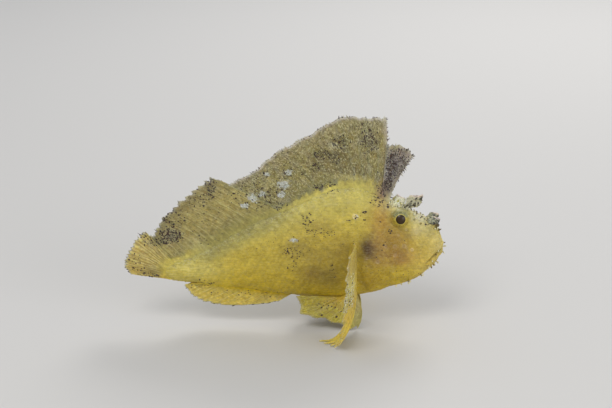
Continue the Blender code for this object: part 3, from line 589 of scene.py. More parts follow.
# Fin colours: web, ray, share of pale flecks, strength of the fine lines between the rays
FIN_COLOURS = {
    "dorsal_crest": (srgb(140, 134, 121), srgb(160, 154, 145), 0.40, 0.0),
    "dorsal_fin_spiny": (srgb(128, 123, 72), srgb(144, 140, 96), 0.66, 0.10),
    "dorsal_fin_soft": (srgb(146, 138, 80), srgb(176, 169, 108), 0.22, 0.42),
    "anal_fin": (srgb(192, 173, 70), srgb(212, 196, 108), 0.20, 0.45),
    "caudal_fin": (srgb(166, 148, 78), srgb(206, 194, 118), 0.15, 0.65),
    "pectoral_fin": (srgb(214, 184, 48), srgb(224, 202, 80), 0.16, 0.0),
    "pelvic_fin": (srgb(176, 164, 52), srgb(192, 181, 76), 0.30, 0.2),
}


# Share of its height over which a fin takes the body's colour at its root
ROOT_FADES = {"dorsal_crest": 0.12, "dorsal_fin_spiny": 0.12, "dorsal_fin_soft": 0.20}


# Meshes


SURFACE_VALUES = ("points", "normals", "lies", "unwrap", "tint", "face", "along")


class Surface:
    """Points to grow things on: normals, lie of growth, place on the unwrap and colour."""

    def __init__(self, points, normals, lies, unwrap, tint, face=None, along=None):
        self.points, self.normals, self.lies = points, normals, lies
        self.unwrap, self.tint = unwrap, tint
        self.face = np.zeros(len(points), int) if face is None else face
        self.along = np.zeros(len(points)) if along is None else along

    def part(self, chosen):
        return Surface(*(getattr(self, name)[chosen] for name in SURFACE_VALUES))


def joined(surfaces):
    """Several surfaces as one."""
    values = [[getattr(surface, name) for surface in surfaces] for name in SURFACE_VALUES]
    return Surface(*map(np.concatenate, values))


def sprout(surface, chosen, seed):
    """The chosen points of a surface to grow things on, a random draw for them and how many."""
    return surface.part(chosen), np.random.default_rng(seed), len(chosen)


def grid_normals(grid):
    """Normals of a grid of points, rows first."""
    down, right = np.gradient(grid, axis=0), np.gradient(grid, axis=1)
    return unit(np.cross(right, down))


def quads(number):
    """Faces of a grid of vertex numbers."""
    a, b, c, d = number[:-1, :-1], number[:-1, 1:], number[1:, 1:], number[1:, :-1]
    return np.stack((a, b, c, d), -1).reshape(-1, 4)


def add_piece(name, points, faces, corners, tint, material, flecks=0.0, lines=0.0, run=None):
    """An object from millimetre points, faces by corner count, and each corner's place on the unwrap.

    Flecks and lines are how strong the pale flecks and the fine lines are, and run is where
    they are drawn, in millimetres.
    """
    mesh = bpy.data.meshes.new(name)
    loops = np.concatenate([group.ravel() for group in faces]).astype(np.int32)
    sizes = np.concatenate([np.full(len(group), group.shape[1]) for group in faces])
    starts = np.concatenate(([0], np.cumsum(sizes)[:-1])).astype(np.int32)
    mesh.vertices.add(len(points))
    mesh.vertices.foreach_set("co", (points * MM).astype(np.float32).ravel())
    mesh.loops.add(len(loops))
    mesh.loops.foreach_set("vertex_index", loops)
    mesh.polygons.add(len(sizes))
    mesh.polygons.foreach_set("loop_start", starts)
    mesh.polygons.foreach_set("use_smooth", np.ones(len(sizes), bool))
    unwrap = mesh.uv_layers.new(name="OFBake")
    places = np.concatenate([group.reshape(-1, 2) for group in corners])
    unwrap.uv.foreach_set("vector", places.astype(np.float32).ravel())
    colours = np.ones((len(points), 4), np.float32)
    colours[:, :3] = np.clip(tint, 0.0, 1.0)
    mesh.attributes.new("Tint", "FLOAT_COLOR", "POINT").data.foreach_set("color", colours.ravel())
    for word, strength in (("Flecks", flecks), ("Lines", lines)):
        values = np.broadcast_to(np.asarray(strength, np.float32), (len(points),)).copy()
        mesh.attributes.new(word, "FLOAT", "POINT").data.foreach_set("value", values)
    run = (points if run is None else run).astype(np.float32)
    mesh.attributes.new("Run", "FLOAT_VECTOR", "POINT").data.foreach_set("vector", run.ravel())
    mesh.update(calc_edges=True)
    mesh.validate()
    mesh.materials.append(material)
    obj = bpy.data.objects.new(name, mesh)
    bpy.context.scene.collection.objects.link(obj)
    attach(obj, "root")
    return obj


def ring_places():
    """Section numbers of the skin's rings, closer together on the head."""
    places = []
    for i in range(len(SECTIONS) - 1):
        spacing = HEAD_RING_SPACING if i < HEAD_SECTIONS else BODY_RING_SPACING
        count = max(3, round((SECTIONS[i, 0] - SECTIONS[i + 1, 0]) / spacing))
        places += [i + k / count for k in range(count)]
    return np.array([*places, len(SECTIONS) - 1.0])


def ring_angles():
    """Angles round a section that part a typical one into equal lengths."""
    fine = np.linspace(0, 2 * math.pi, 2001)
    steps = np.hypot(np.diff(5.0 * np.sin(fine)), np.diff(14.0 * np.cos(fine)))
    length = np.concatenate(([0.0], np.cumsum(steps)))
    angles = np.interp(np.arange(AROUND) / AROUND * length[-1], length, fine)
    return np.where(angles > math.pi, angles - 2 * math.pi, angles)


def pole_caps(wrapped, unwrap, turn):
    """Fans that close the skin at snout and tail, and their places on the unwrap."""
    fans, corners = [], []
    last = len(wrapped) - 1
    first_pole = len(wrapped) * AROUND
    for pole, ring, edge, way in ((first_pole, 0, 0.01, 1), (first_pole + 1, last, 0.99, -1)):
        fan = np.stack((np.full(AROUND, pole), wrapped[ring, 1:], wrapped[ring, :-1]), -1)
        middle = np.stack((np.full(AROUND, edge), 0.01 + 0.98 * (turn[:-1] + turn[1:]) / 2), -1)
        places = np.stack((middle, unwrap[ring, 1:], unwrap[ring, :-1]), 1)
        fans.append(fan[:, ::way])
        corners.append(places[:, ::way])
    return fans, corners


def skin(material):
    """The whole body's skin as one closed mesh, and a surface to grow papillae on."""
    places, angles = ring_places(), ring_angles()
    place, angle = np.meshgrid(places, angles, indexing="ij")
    grid, normals = skin_points(place, angle)
    rings = len(places)
    number = np.arange(rings * AROUND).reshape(rings, AROUND)
    wrapped = np.concatenate((number, number[:, :1]), 1)
    faces = quads(wrapped)
    length = np.concatenate(([0.0], np.cumsum(np.diff(-PROFILE[:, 0]))))
    run = np.interp(places, PROFILE_PLACES, length / length[-1])
    turn = np.arange(AROUND + 1) / AROUND
    unwrap = np.stack(np.meshgrid(0.02 + 0.96 * run, 0.01 + 0.98 * turn, indexing="ij"), -1)
    corners = quads_corners(unwrap)
    ends, end_corners = pole_caps(wrapped, unwrap, turn)
    points = np.concatenate((grid.reshape(-1, 3), [SNOUT_POLE], [TAIL_POLE]))
    # the body's colour, with painted shade in the mouth's line and the nostrils
    tint = shade_mouth_and_nostrils(body_colour(points), points)
    flecks = 0.14 + 0.25 * ease(points[:, 2] - back_height(points[:, 0]), -4.0, 0.0)
    lines = 0.12 + 0.5 * (1.0 - ease(points[:, 0], -30.0, -16.0))
    made = add_piece(
        "skin", points, [faces, *ends], [corners, *end_corners], tint, material, flecks,
        lines, points[:, [2, 0, 1]],
    )
    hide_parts("head", "trunk", "tail_stalk")
    lies = unit(np.gradient(grid, axis=0))
    return Surface(
        grid.reshape(-1, 3),
        outward(grid, normals).reshape(-1, 3),
        lies.reshape(-1, 3),
        unwrap[:, :-1].reshape(-1, 2),
        tint[:-2],
    )


def outward(grid, normals):
    """Normals of the skin's grid, turned the way that the plain sections' normals point."""
    own = grid_normals(grid)
    return own * np.sign((own * normals).sum(-1, keepdims=True))


def quads_corners(unwrap):
    """Each face corner's place on the unwrap, in the order that quads gives the corners."""
    a, b, c, d = unwrap[:-1, :-1], unwrap[:-1, 1:], unwrap[1:, 1:], unwrap[1:, :-1]
    return np.stack((a, b, c, d), -2).reshape(-1, 4, 2)


def shell(middle, half):
    """A closed thin form round a grid of middle points. The half thickness is 0 on its rim."""
    rows, columns = middle.shape[:2]
    normal = grid_normals(middle)
    near, far = middle + normal * half[..., None], middle - normal * half[..., None]
    number = np.arange(rows * columns).reshape(rows, columns)
    other = number.copy()
    other[1:-1, 1:-1] = rows * columns + np.arange((rows - 2) * (columns - 2)).reshape(rows - 2, -1)
    faces = np.concatenate((quads(number), quads(other)[:, ::-1]))
    v, u = np.meshgrid(np.linspace(0.01, 0.99, rows), np.linspace(0.005, 0.49, columns), indexing="ij")
    near_unwrap = np.stack((u, v), -1)
    far_unwrap = near_unwrap + (0.505, 0.0)
    corners = np.concatenate((quads_corners(near_unwrap), quads_corners(far_unwrap)[:, ::-1]))
    return near, far, faces, corners, near_unwrap, far_unwrap


def two_faces(thin, lie, colour, shown, numbers, along):
    """Both faces of a thin form as one surface to grow things on, without its rim."""
    near, far, _, _, near_unwrap, far_unwrap = thin
    sides = []
    for number, place, sign, unwrap in zip(numbers, (near, far), (1.0, -1.0), (near_unwrap, far_unwrap)):
        values = (place, grid_normals(place) * sign, lie, unwrap, colour)
        flat = [value[shown].reshape(-1, value.shape[-1]) for value in values]
        sides.append(Surface(*flat, np.full(len(flat[0]), number), along[shown].ravel()))
    return joined(sides)


def both(near_values, far_values):
    """Values for a shell's points: all near ones, then the far ones inside the rim."""
    tail = near_values.shape[2:]
    return np.concatenate(
        (near_values.reshape((-1, *tail)), far_values[1:-1, 1:-1].reshape((-1, *tail)))
    )


# Fins


def bezier(guide, share):
    """Points on guide rays: from the root, drawn towards the bend, to the tip."""
    root, bend, tip = guide[..., 0, :], guide[..., 1, :], guide[..., 2, :]
    share = share[..., None]
    return root * (1 - share) ** 2 + bend * 2 * share * (1 - share) + tip * share**2


def fin_middle(kind, guides, across, along):
    """Middle points of a fin, by position across its rays and along them."""
    rays, notch, sway, free_tips = FINS[kind][:4]
    guide = along_rows(guides, across * (len(guides) - 1))
    part = across * (rays - 1)
    between = np.sin(math.pi * part) ** 2
    deep = (notch + free_tips * np.clip(across, 0, 1) ** 3) * (1.0 + 0.3 * np.sin(5.1 * part))
    short = between * deep + TIP_WANDER * (1.0 + np.sin(2.3 * part + 1.0))
    place = bezier(guide, np.where(along > 0, along * (1.0 - short), along))
    rise = np.maximum(along, 0.0)
    place[..., 1] += sway * rise**2 * np.sin(2.2 * math.pi * across + 1.5 * rise)
    first, last = EDGE_LEANS.get(kind, (0.0, 0.0))
    place[..., 1] += first * (1.0 - ease(across, 0.0, 0.15)) + last * ease(across, 0.8, 1.0)
    return place


def fin_grid(kind, guides):
    """Positions along and across a fin's rays, its span over the tips and its mean length."""
    lengths = np.linalg.norm(guides[:, 2] - guides[:, 0], axis=1)
    span = np.linalg.norm(np.diff(guides[:, 2], axis=0), axis=1).sum()
    sink = SUNK / np.linalg.norm(2 * (guides[:, 1] - guides[:, 0]), axis=1).mean()
    rim = RIM_REACH / span
    cell = CELLS.get(kind, CELL)
    edges = (-rim, -0.7 * rim), (1 + 0.7 * rim, 1 + rim)
    across = np.concatenate((edges[0], np.linspace(0, 1, int(span / cell)), edges[1]))
    shown = np.linspace(0, 1, int(lengths.max() / cell))
    along = np.concatenate((np.linspace(-sink, 0, FOOT_ROWS)[:-1], shown))
    along, across = np.meshgrid(along, across, indexing="ij")
    return along, across, span, lengths.mean()


def ray_taper(opening, along):
    """How much of a ray's width and height is left along it."""
    return 1.0 - (0.35 if opening else 0.55) * ease(along, 0.1, 1.0)


def nearness_to_rays(kind, middle, across, along):
    """1 on a ray and 0 off it. A branched ray forks towards its tip."""
    rays, _, _, _, _, ridge_half, fork, opening = FINS[kind]
    width = np.linalg.norm(np.gradient(middle, axis=1), axis=-1) / np.gradient(across, axis=1)
    part = across * (rays - 1)
    offset = np.abs(part - np.round(part))
    spread = opening * ease(along, fork, 0.95)
    room = width / (rays - 1)
    off_ray = np.abs(offset - spread) * room
    if opening:
        inner = np.abs(offset - spread * INNER_SPREAD) * room
        off_ray = np.minimum(off_ray, inner + 3 * (along < INNER_FORK))
    return hump(off_ray, ridge_half * ray_taper(opening, along) * (0.8 if opening else 1.0))


def fin_thickness(kind, middle, along, length, on_ray):
    """Half thickness of a fin: its web, its ridged rays and its fleshy foot."""
    ridge, opening = FINS[kind][4], FINS[kind][7]
    flesh, reach = FLESH.get(kind.split("_")[0], PAIRED_FLESH)
    joints = 1.0 + JOINT_DEPTH * np.sin(2 * math.pi * length / JOINT_LENGTH) * (opening > 0)
    taper = ray_taper(opening, along)
    half = WEB_HALF + ridge * taper * on_ray * ease(along, 0.0, 0.3) * joints
    half += flesh * np.exp(-np.maximum(length + FOOT_DEPTH, 0.0) / reach)
    half += 0.025 * FINE(middle)
    return half


def fin(name, kind, guides, material, on_floor=False):
    """A thin fin with ridged rays, its root sunk in the body, and the surface of its two faces."""
    guides = np.asarray(guides, float)
    along, across, span, mean_length = fin_grid(kind, guides)
    middle = fin_middle(kind, guides, across, along)
    length = along * mean_length
    on_ray = nearness_to_rays(kind, middle, across, along)
    half = fin_thickness(kind, middle, along, length, on_ray)
    middle[..., 1] += 0.10 * RIPPLES(middle) * ease(along, 0.1, 0.5) * (not on_floor)
    half *= np.minimum(1.0, ease((1.0 - along) * mean_length, -0.02, 0.5) + 0.25)
    half[0] = half[-1] = 0.0
    half[:, 0] = half[:, -1] = 0.0
    half[:, 1] *= 0.7
    half[:, -2] *= 0.7
    if on_floor:
        up = np.abs(grid_normals(middle)[..., 2])
        middle[..., 2] = np.maximum(middle[..., 2], half * up)
    thin = shell(middle, half)
    near, far, faces, corners, near_unwrap, _ = thin
    if on_floor:
        near[..., 2] = np.maximum(near[..., 2], 0.0)
        far[..., 2] = np.maximum(far[..., 2], 0.0)
    colour, flecks, lines = fin_colour(kind, middle, across, along, on_ray)
    points, tint = both(near, far), both(colour, colour)
    run = np.stack((across * span, length, 0.0 * length), -1)
    made = add_piece(
        f"{name}_membrane", points, [faces], [corners], tint, material,
        both(flecks, flecks), both(lines, lines), both(run, run + (0.0, 0.0, 3.0)),
    )
    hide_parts(name)
    lie = unit(np.gradient(middle, axis=0))
    surface = two_faces(thin, lie, colour, FIN_SHOWN, (0, 1), along)
    surface.tips = middle[-1], unit(np.gradient(middle[-1], axis=0)), lie[-1], near_unwrap[-1]
    surface.front = middle[:, 0], lie[:, 0], near_unwrap[:, 0]
    surface.second = middle[:, 2]
    return surface


def spiny_colour(colour, middle, across, along):
    """The spiny back fin's greyer blotches and pale rim."""
    colour = mix(colour, srgb(148, 144, 122), 0.35 * ease(MOTTLES(middle), -0.2, 1.1))
    high = ease(along + 0.06 * STREAKS(middle), 0.72, 0.95)
    colour = mix(colour, srgb(150, 146, 126), 0.4 * high)
    front = (1.0 - ease(across, 0.0, 0.06)) * ease(along, 0.3, 0.6)
    rim = np.maximum(ease(along, 0.95, 0.99), 0.8 * front)
    return mix(colour, srgb(196, 190, 190), 0.7 * rim)


def pectoral_colour(colour, middle, along):
    """The pectoral fin by height: duller at the root and halfway up, brighter at the foot."""
    grain, z = STREAKS(middle), middle[..., 2]
    high = ease(z + 1.6 * grain, 12.0, 18.0) * ease(along + 0.10 * grain, 0.35, 0.75)
    colour = mix(colour, srgb(204, 198, 112), 0.8 * high)
    colour = mix(colour, srgb(226, 204, 98), 0.6 * (1.0 - ease(z, 1.0, 4.0)))
    return mix(colour, srgb(190, 168, 72), 0.75 * ease(z + grain, 21.0, 26.0))


def rooted_colour(kind, colour, middle, along):
    """The colour of a mid-line fin, fading into the body's colour at its root."""
    reach = ROOT_FADES.get(kind, 0.30)
    if kind == "dorsal_fin_spiny":
        reach = 0.08 + reach * ease(middle[..., 0], 12.0, 20.0)
    flames = STREAKS(middle * (1.0, 1.0, 0.25)) + MOTTLES(middle)
    fade = ease(along + 0.025 * flames + 0.012 * FLECKS(middle), -0.03, reach)
    return mix(body_colour(middle), colour, fade)


def fin_colour(kind, middle, across, along, on_ray):
    """Colour of a fin and the strength of its pale flecks."""
    web, ray, flecks, lines = FIN_COLOURS[kind]
    paired = kind in ("pectoral_fin", "pelvic_fin")
    grain = STREAKS(middle)
    colour = mix(web, ray, 0.8 * on_ray * ease(along, 0.05, 0.35))
    colour = colour * (1.0 + 0.10 * grain + 0.06 * BLOTCHES(middle))[..., None]
    if kind == "dorsal_fin_spiny":
        colour = spiny_colour(colour, middle, across, along)
    if kind == "dorsal_fin_soft":
        colour = mix(colour, srgb(114, 106, 72), 0.55 * ease(along, 0.55, 1.0))
    if kind == "caudal_fin":
        colour = mix(colour, srgb(190, 166, 70), 0.6 * ease(across, 0.45, 1.0))
    if kind == "pectoral_fin":
        colour = pectoral_colour(colour, middle, along)
    if kind == "pelvic_fin":
        colour = mix(srgb(176, 150, 34), colour, ease(along + 0.05 * grain, 0.1, 0.7))
        colour = mix(colour, srgb(158, 158, 108), 0.6 * ease(middle[..., 0], 18.6, 20.8))
    if paired:
        bars = np.sin(2 * math.pi * (3.2 * along + 0.10 * grain)) * ease(along, 0.2, 0.5)
        colour = mix(colour, srgb(142, 116, 58), 0.10 * (1.0 + bars) * ease(along, 0.1, 0.4))
        colour = marked(colour, middle)
    else:
        colour = rooted_colour(kind, marked(colour, middle), middle, along)
    tips = ease(along, 0.93, 1.0) * (0.35 + 0.65 * on_ray)
    colour = mix(colour, WHITE, 0.55 * tips)
    shown = ease(along, -0.05, 0.25)
    return colour, flecks * shown * (1.0 - 0.6 * tips), lines * ease(along, -0.1, 0.2)


def midline_guides(guides, root_height):
    """Guide rays of a fin on the mid-plane, rooted on the body."""
    found = []
    for root_x, bend, tip in guides:
        root = (root_x, 0.0, float(root_height(root_x)))
        found.append((root, (bend[0], 0.0, bend[1]), (tip[0], 0.0, tip[1])))
    return found


def pectoral_root(place, side):
    """A ray's root beside the flank, from its (x, z) there."""
    start, normal = on_flank(*place, side)
    return tuple(start + normal * PAIRED_CLEAR)


def pelvic_root(place, side):
    """A ray's root under the belly, from its (x, distance out)."""
    x, out = place
    return x, side * out, float(belly_height(x, out)) - PAIRED_CLEAR


def paired_guides(guides, find_root, side):
    """Guide rays of one fin of a pair, rooted on the body by find_root."""
    found = []
    for root, bend, tip in guides:
        ends = [(x, side * out, z) for x, out, z in (bend, tip)]
        found.append((find_root(root, side), *ends))
    return found


def all_fins(material):
    """Every fin, by node name, with its surface."""

    def on_back(x):
        return back_height(x) + GAP

    def under_belly(x):
        return belly_height(x) - GAP

    caudal = [[(x, 0.0, z) for x, z in guide] for guide in CAUDAL_GUIDES]
    plans = {
        "dorsal_crest": midline_guides(CREST_GUIDES, on_back),
        "dorsal_fin_spiny": midline_guides(SPINY_GUIDES, on_back),
        "dorsal_fin_soft": midline_guides(SOFT_GUIDES, on_back),
        "anal_fin": midline_guides(ANAL_GUIDES, under_belly),
        "caudal_fin": caudal,
    }
    made = {name: fin(name, name, guides, material) for name, guides in plans.items()}
    pairs = {
        "pectoral_fin": (PECTORAL_GUIDES, pectoral_root),
        "pelvic_fin": (PELVIC_GUIDES, pelvic_root),
    }
    for word, side in SIDES.items():
        for kind, (guides, find_root) in pairs.items():
            name = f"{kind}_{word}"
            guides = paired_guides(guides, find_root, side)
            made[name] = fin(name, kind, guides, material, on_floor=True)
    return made


# Papillae and specks

DOME = [(-0.5, 1.0), (0.35, 0.92), (0.8, 0.55)]
GRAIN = [(-0.6, 1.0), (0.6, 0.72)]
CONE = [(-0.4, 1.0), (0.15, 0.85), (0.6, 0.45)]
TAG = [(-0.3, 0.55), (0.25, 0.6), (0.6, 1.0), (0.88, 0.75)]


def tuft_faces(levels, sides):
    """Corner numbers of one bump's faces: its walls, its tip and its base."""
    around = np.arange(sides)
    after = (around + 1) % sides
    low = np.arange(levels - 1)[:, None] * sides
    walls = (low + around, low + after, low + sides + after, low + sides + around)
    top = (levels - 1) * sides
    cap = np.stack((top + around, top + after, np.full(sides, levels * sides)), -1)
    return np.stack(walls, -1).reshape(1, -1, 4), cap[None], around[::-1][None, None]


def tufts(name, roots, widths, heights, tint, tips, material, profile=DOME, sides=6,
          lean=0.0, stretch=1.0, crush=1.0):
    """Many small closed bumps as one mesh. profile has (height, radius) shares, root to tip."""
    count = len(roots.points)
    if not count:
        return None
    ups, lies = roots.normals, roots.lies
    lies = unit(lies - ups * (lies * ups).sum(-1, keepdims=True))
    across = np.cross(ups, lies)
    widths, heights = np.broadcast_to(widths, count), np.broadcast_to(heights, count)
    lean, stretch = np.broadcast_to(lean, count), np.broadcast_to(stretch, count)
    turn = 2 * math.pi * np.arange(sides) / sides
    levels = len(profile)
    each = levels * sides + 1
    points = np.empty((count, each, 3))
    colours = np.empty((count, each, 3))
    patch = np.empty((count, each, 2))
    for i, (height, radius) in enumerate([*profile, (1.0, 0.0)]):
        centre = roots.points + ups * (height * heights)[:, None]
        centre = centre + lies * (lean * heights * max(height, 0.0) ** 1.5)[:, None]
        shade = mix(tint, tips, np.full(count, max(height, 0.0) ** 1.5))
        if i == levels:
            points[:, -1], colours[:, -1], patch[:, -1] = centre, shade, roots.unwrap
            continue
        wide = (radius * widths / 2)[:, None, None]
        ring = np.cos(turn)[None, :, None] * lies[:, None] * (stretch[:, None, None])
        ring = ring + np.sin(turn)[None, :, None] * across[:, None] * crush
        here = slice(i * sides, (i + 1) * sides)
        points[:, here] = centre[:, None] + wide * ring
        colours[:, here] = shade[:, None]
        out = 0.0015 * (1.0 - i / levels)
        patch[:, here] = roots.unwrap[:, None] + out * np.stack((np.cos(turn), np.sin(turn)), -1)
    offsets = (np.arange(count) * each)[:, None, None]
    templates = tuft_faces(levels, sides)
    faces = [(template + offsets).reshape(-1, template.shape[-1]) for template in templates]
    corners = [
        patch[np.arange(count)[:, None, None], np.broadcast_to(template, (count, *template.shape[1:]))]
        .reshape(-1, template.shape[-1], 2)
        for template in templates
    ]
    return add_piece(
        name, points.reshape(-1, 3), faces, corners, colours.reshape(-1, 3), material
    )


def pick(surface, spacing, seed, share=None):
    """Numbers of points of a surface that lie about this far apart."""
    draw = np.random.default_rng(seed)
    order = draw.permutation(len(surface.points))
    cells = np.floor(surface.points[order] / spacing + draw.random(3)).astype(np.int64)
    key = cells @ np.array((73856093, 19349663, 83492791)) * 2 + surface.face[order]
    chosen = order[np.unique(key, return_index=True)[1]]
    if share is not None:
        chosen = chosen[draw.random(len(chosen)) < share[chosen]]
    return chosen


# Regions of the skin: x from and to, and how far apart its grains are
SKIN_REGIONS = {"front": (18, 60, 0.47), "middle": (-4, 18, 0.5), "rear": (-60, -4, 0.5)}
# Fins that are thick with grains, and how far apart those are
GRAINY_FINS = {"dorsal_crest": 0.46, "dorsal_fin_spiny": 0.46, "dorsal_fin_soft": 0.70}


def skin_granules(surface, material):
    """Fine grains all over the skin, none round the eyes."""
    x, z = surface.points[:, 0], surface.points[:, 2]
    clear = ease(np.hypot(x - EYE[0], z - EYE[1]), 2.6, 3.6)
    for word, (low, high, spacing) in SKIN_REGIONS.items():
        chosen = pick(surface, spacing, 41, clear * (x > low) * (x <= high) * 0.9)
        roots, draw, count = sprout(surface, chosen, 42)
        size = draw.uniform(0.13, 0.30, count)
        shade = draw.uniform(0.94, 1.12, (count, 1))
        tips = mix(roots.tint * shade, PALE, draw.uniform(0.0, 0.25, count))
        tufts(
            f"skin_granules_{word}", roots, size, size * draw.uniform(0.16, 0.34, count), roots.tint,
            tips, material, profile=GRAIN, sides=5, stretch=draw.uniform(1.0, 1.9, count), lean=0.6,
        )


def fin_granules(fins, material):
    """Streaky grains on the fins, thick on the spiny back fin and its crest."""
    for name, surface in fins.items():
        share = ease(surface.along, 0.02, 0.3) * (0.95 if name in GRAINY_FINS else 0.6)
        share = share * (surface.points[:, 2] > 0.8)
        chosen = pick(surface, GRAINY_FINS.get(name, 0.8), 51, share)
        roots, draw, count = sprout(surface, chosen, 52)
        size = draw.uniform(0.13, 0.27, count)
        pale = draw.uniform(-0.35, 0.75, count) * (1.0 if name in GRAINY_FINS else 0.5)
        tips = mix(roots.tint, PALE, np.maximum(pale, 0.0)) * (1.0 + np.minimum(pale, 0.0))[:, None]
        tufts(
            f"grains_{name}", roots, size, size * draw.uniform(0.25, 0.5, count), roots.tint,
            tips, material, profile=GRAIN, sides=5, stretch=draw.uniform(1.0, 1.7, count), lean=0.8,
        )


def patch_papillae(fins, body, material):
    """Small white papillae that crowd each white patch."""
    surface = joined([fins["dorsal_fin_spiny"], fins["dorsal_fin_soft"], body])
    chosen = pick(surface, 0.32, 55, ease(patch_share(surface.points), 0.15, 0.8) * 0.85)
    roots, draw, count = sprout(surface, chosen, 56)
    size = draw.uniform(0.20, 0.50, count)
    tint = mix(roots.tint, srgb(184, 187, 174), draw.uniform(0.4, 1.0, count))
    tips = srgb(210, 213, 206) * draw.uniform(0.65, 1.1, (count, 1))
    tufts(
        "white_papillae", roots, size, size * draw.uniform(0.25, 0.5, count), tint, tips, material,
        stretch=draw.uniform(1.0, 1.4, count), lean=0.3, sides=8,
    )


def leg_beads(fins, material):
    """White beads with dark ones between them on the upper part of the fins that prop the head."""
    for word in SIDES:
        surface = fins[f"pectoral_fin_{word}"]
        height = surface.points[:, 2]
        share = ease(height, 12.5, 15.5) * (1.0 - ease(height, 20.0, 24.0))
        share = share * ease(surface.along, 0.5, 0.85)
        chosen = pick(surface, 0.62, 65, 0.6 * share)
        roots, draw, count = sprout(surface, chosen, 66)
        size = draw.uniform(0.22, 0.5, count)
        dark = draw.random((count, 1)) < 0.24
        tint = np.where(dark, srgb(84, 76, 58), srgb(196, 192, 140))
        tips = np.where(dark, srgb(70, 62, 60), srgb(222, 221, 204))
        tufts(
            f"beads_pectoral_{word}", roots, size, 0.4 * size, tint, tips, material,
            stretch=draw.uniform(1.0, 1.6, count), lean=0.3, sides=7,
        )


# Clusters of dark specks: x, z, half sizes, how many, mean width
SPECKS = [
    (31.9, 48.6, 2.8, 3.8, 560, 0.29),
    (29.4, 48.0, 0.8, 4.6, 130, 0.28),
    (30.6, 44.4, 1.3, 2.0, 90, 0.30),
    (29.2, 42.2, 1.3, 1.8, 150, 0.36),
    (27.4, 39.3, 1.4, 2.9, 140, 0.36),
    (24.2, 54.6, 2.7, 2.9, 170, 0.33),
    (22.5, 58.8, 3.6, 1.6, 50, 0.28),
    (16.2, 54.6, 2.5, 1.9, 120, 0.36),
    (11.0, 50.8, 2.4, 1.3, 80, 0.36),
    (14.7, 49.6, 1.8, 1.4, 50, 0.30),
    (9.4, 47.2, 1.5, 1.2, 56, 0.34),
    (12.2, 41.2, 3.6, 1.4, 110, 0.32),
    (3.0, 46.6, 3.0, 2.4, 16, 0.30),
    (-0.5, 35.6, 2.8, 1.4, 56, 0.31),
    (26.6, 45.7, 0.2, 0.2, 2, 0.50),
    (-8.4, 39.4, 8.0, 4.4, 130, 0.30),
    (-20.3, 41.3, 1.6, 2.6, 100, 0.38),
    (-24.0, 37.6, 3.0, 2.4, 50, 0.32),
    (-31.5, 32.1, 3.6, 2.8, 80, 0.38),
    (-31.8, 26.8, 2.8, 2.2, 260, 0.42),
    (-35.3, 25.1, 2.2, 1.3, 80, 0.40),
    (-39.0, 25.6, 2.2, 1.8, 26, 0.32),
    (-41.9, 20.0, 1.9, 1.7, 20, 0.36),
    (-41.0, 17.0, 3.2, 0.8, 16, 0.30),
    (-38.2, 15.0, 3.2, 0.9, 50, 0.38),
    (13.0, 5.8, 5.6, 2.2, 34, 0.26),
    (-23.6, 12.8, 4.6, 1.3, 34, 0.34),
    (6.9, 31.7, 1.6, 2.7, 34, 0.34),
    (10.3, 29.2, 4.4, 1.0, 50, 0.28),
    (2.8, 23.1, 3.8, 2.0, 50, 0.33),
    (2.4, 19.4, 1.6, 1.8, 14, 0.33),
    (30.0, 29.7, 0.5, 0.85, 12, 0.62),
    (31.1, 31.2, 0.3, 0.4, 3, 0.34),
    (29.3, 27.8, 0.25, 0.3, 3, 0.48),
    (28.8, 26.7, 0.2, 0.2, 2, 0.60),
    (28.2, 25.4, 0.2, 0.3, 2, 0.58),
    (27.7, 24.5, 0.2, 0.2, 2, 0.42),
    (27.4, 32.4, 0.7, 0.3, 4, 0.42),
    (24.8, 37.8, 0.35, 0.3, 4, 0.46),
    (29.5, 36.4, 0.3, 0.3, 3, 0.50),
    (18.2, 32.8, 0.5, 0.3, 4, 0.36),
    (20.3, 33.6, 0.8, 0.5, 6, 0.28),
    (22.7, 35.0, 0.55, 0.3, 9, 0.56),
    (22.7, 33.0, 0.45, 0.22, 6, 0.50),
    (14.0, 17.6, 0.9, 2.6, 12, 0.34),
    (16.9, 26.1, 0.5, 0.3, 4, 0.30),
    (34.1, 26.7, 0.1, 0.1, 1, 0.46),
    (26.2, 22.1, 0.15, 0.1, 2, 0.48),
    (26.0, 37.4, 1.2, 1.4, 9, 0.30),
    (41.0, 31.4, 1.4, 0.9, 16, 0.28),
    (-10.0, 9.4, 11.0, 1.6, 40, 0.24),
    (0.0, 30.0, 26.0, 9.0, 110, 0.17),
    (30.0, 18.0, 12.0, 4.0, 34, 0.17),
    (4.0, 50.0, 24.0, 9.0, 420, 0.20),
    (-8.0, 42.0, 10.0, 4.0, 120, 0.22),
    (-26.0, 32.0, 9.0, 8.0, 160, 0.20),
]
# Single specks round each white patch
SPECKS += [
    (x + 1.2 * half_x * math.cos(turn), z + 1.2 * half_z * math.sin(turn), 0.2, 0.2, 1, 0.38)
    for x, z, half_x, half_z in PATCHES
    for turn in (0.3, 1.5, 2.6, 3.9, 5.1)
]


FACING = 0.12  # least sideways part of a normal where a side's specks stand
CLUSTER = 20  # clusters of more specks than this keep the wider room
CLUSTER_ROOM, FEW_ROOM = 0.78, 0.5  # least distance between specks, as a share of their width
SPECK_REACH = 0.5  # furthest that a speck is moved to find skin or fin
SPECK_SIZES = (0.12, 0.75)  # smallest and largest width


def flat_tree(points):
    """A search tree of points by their places on the flank."""
    tree = KDTree(len(points))
    for i, point in enumerate(points):
        tree.insert((point[0], 0.0, point[2]), i)
    tree.balance()
    return tree


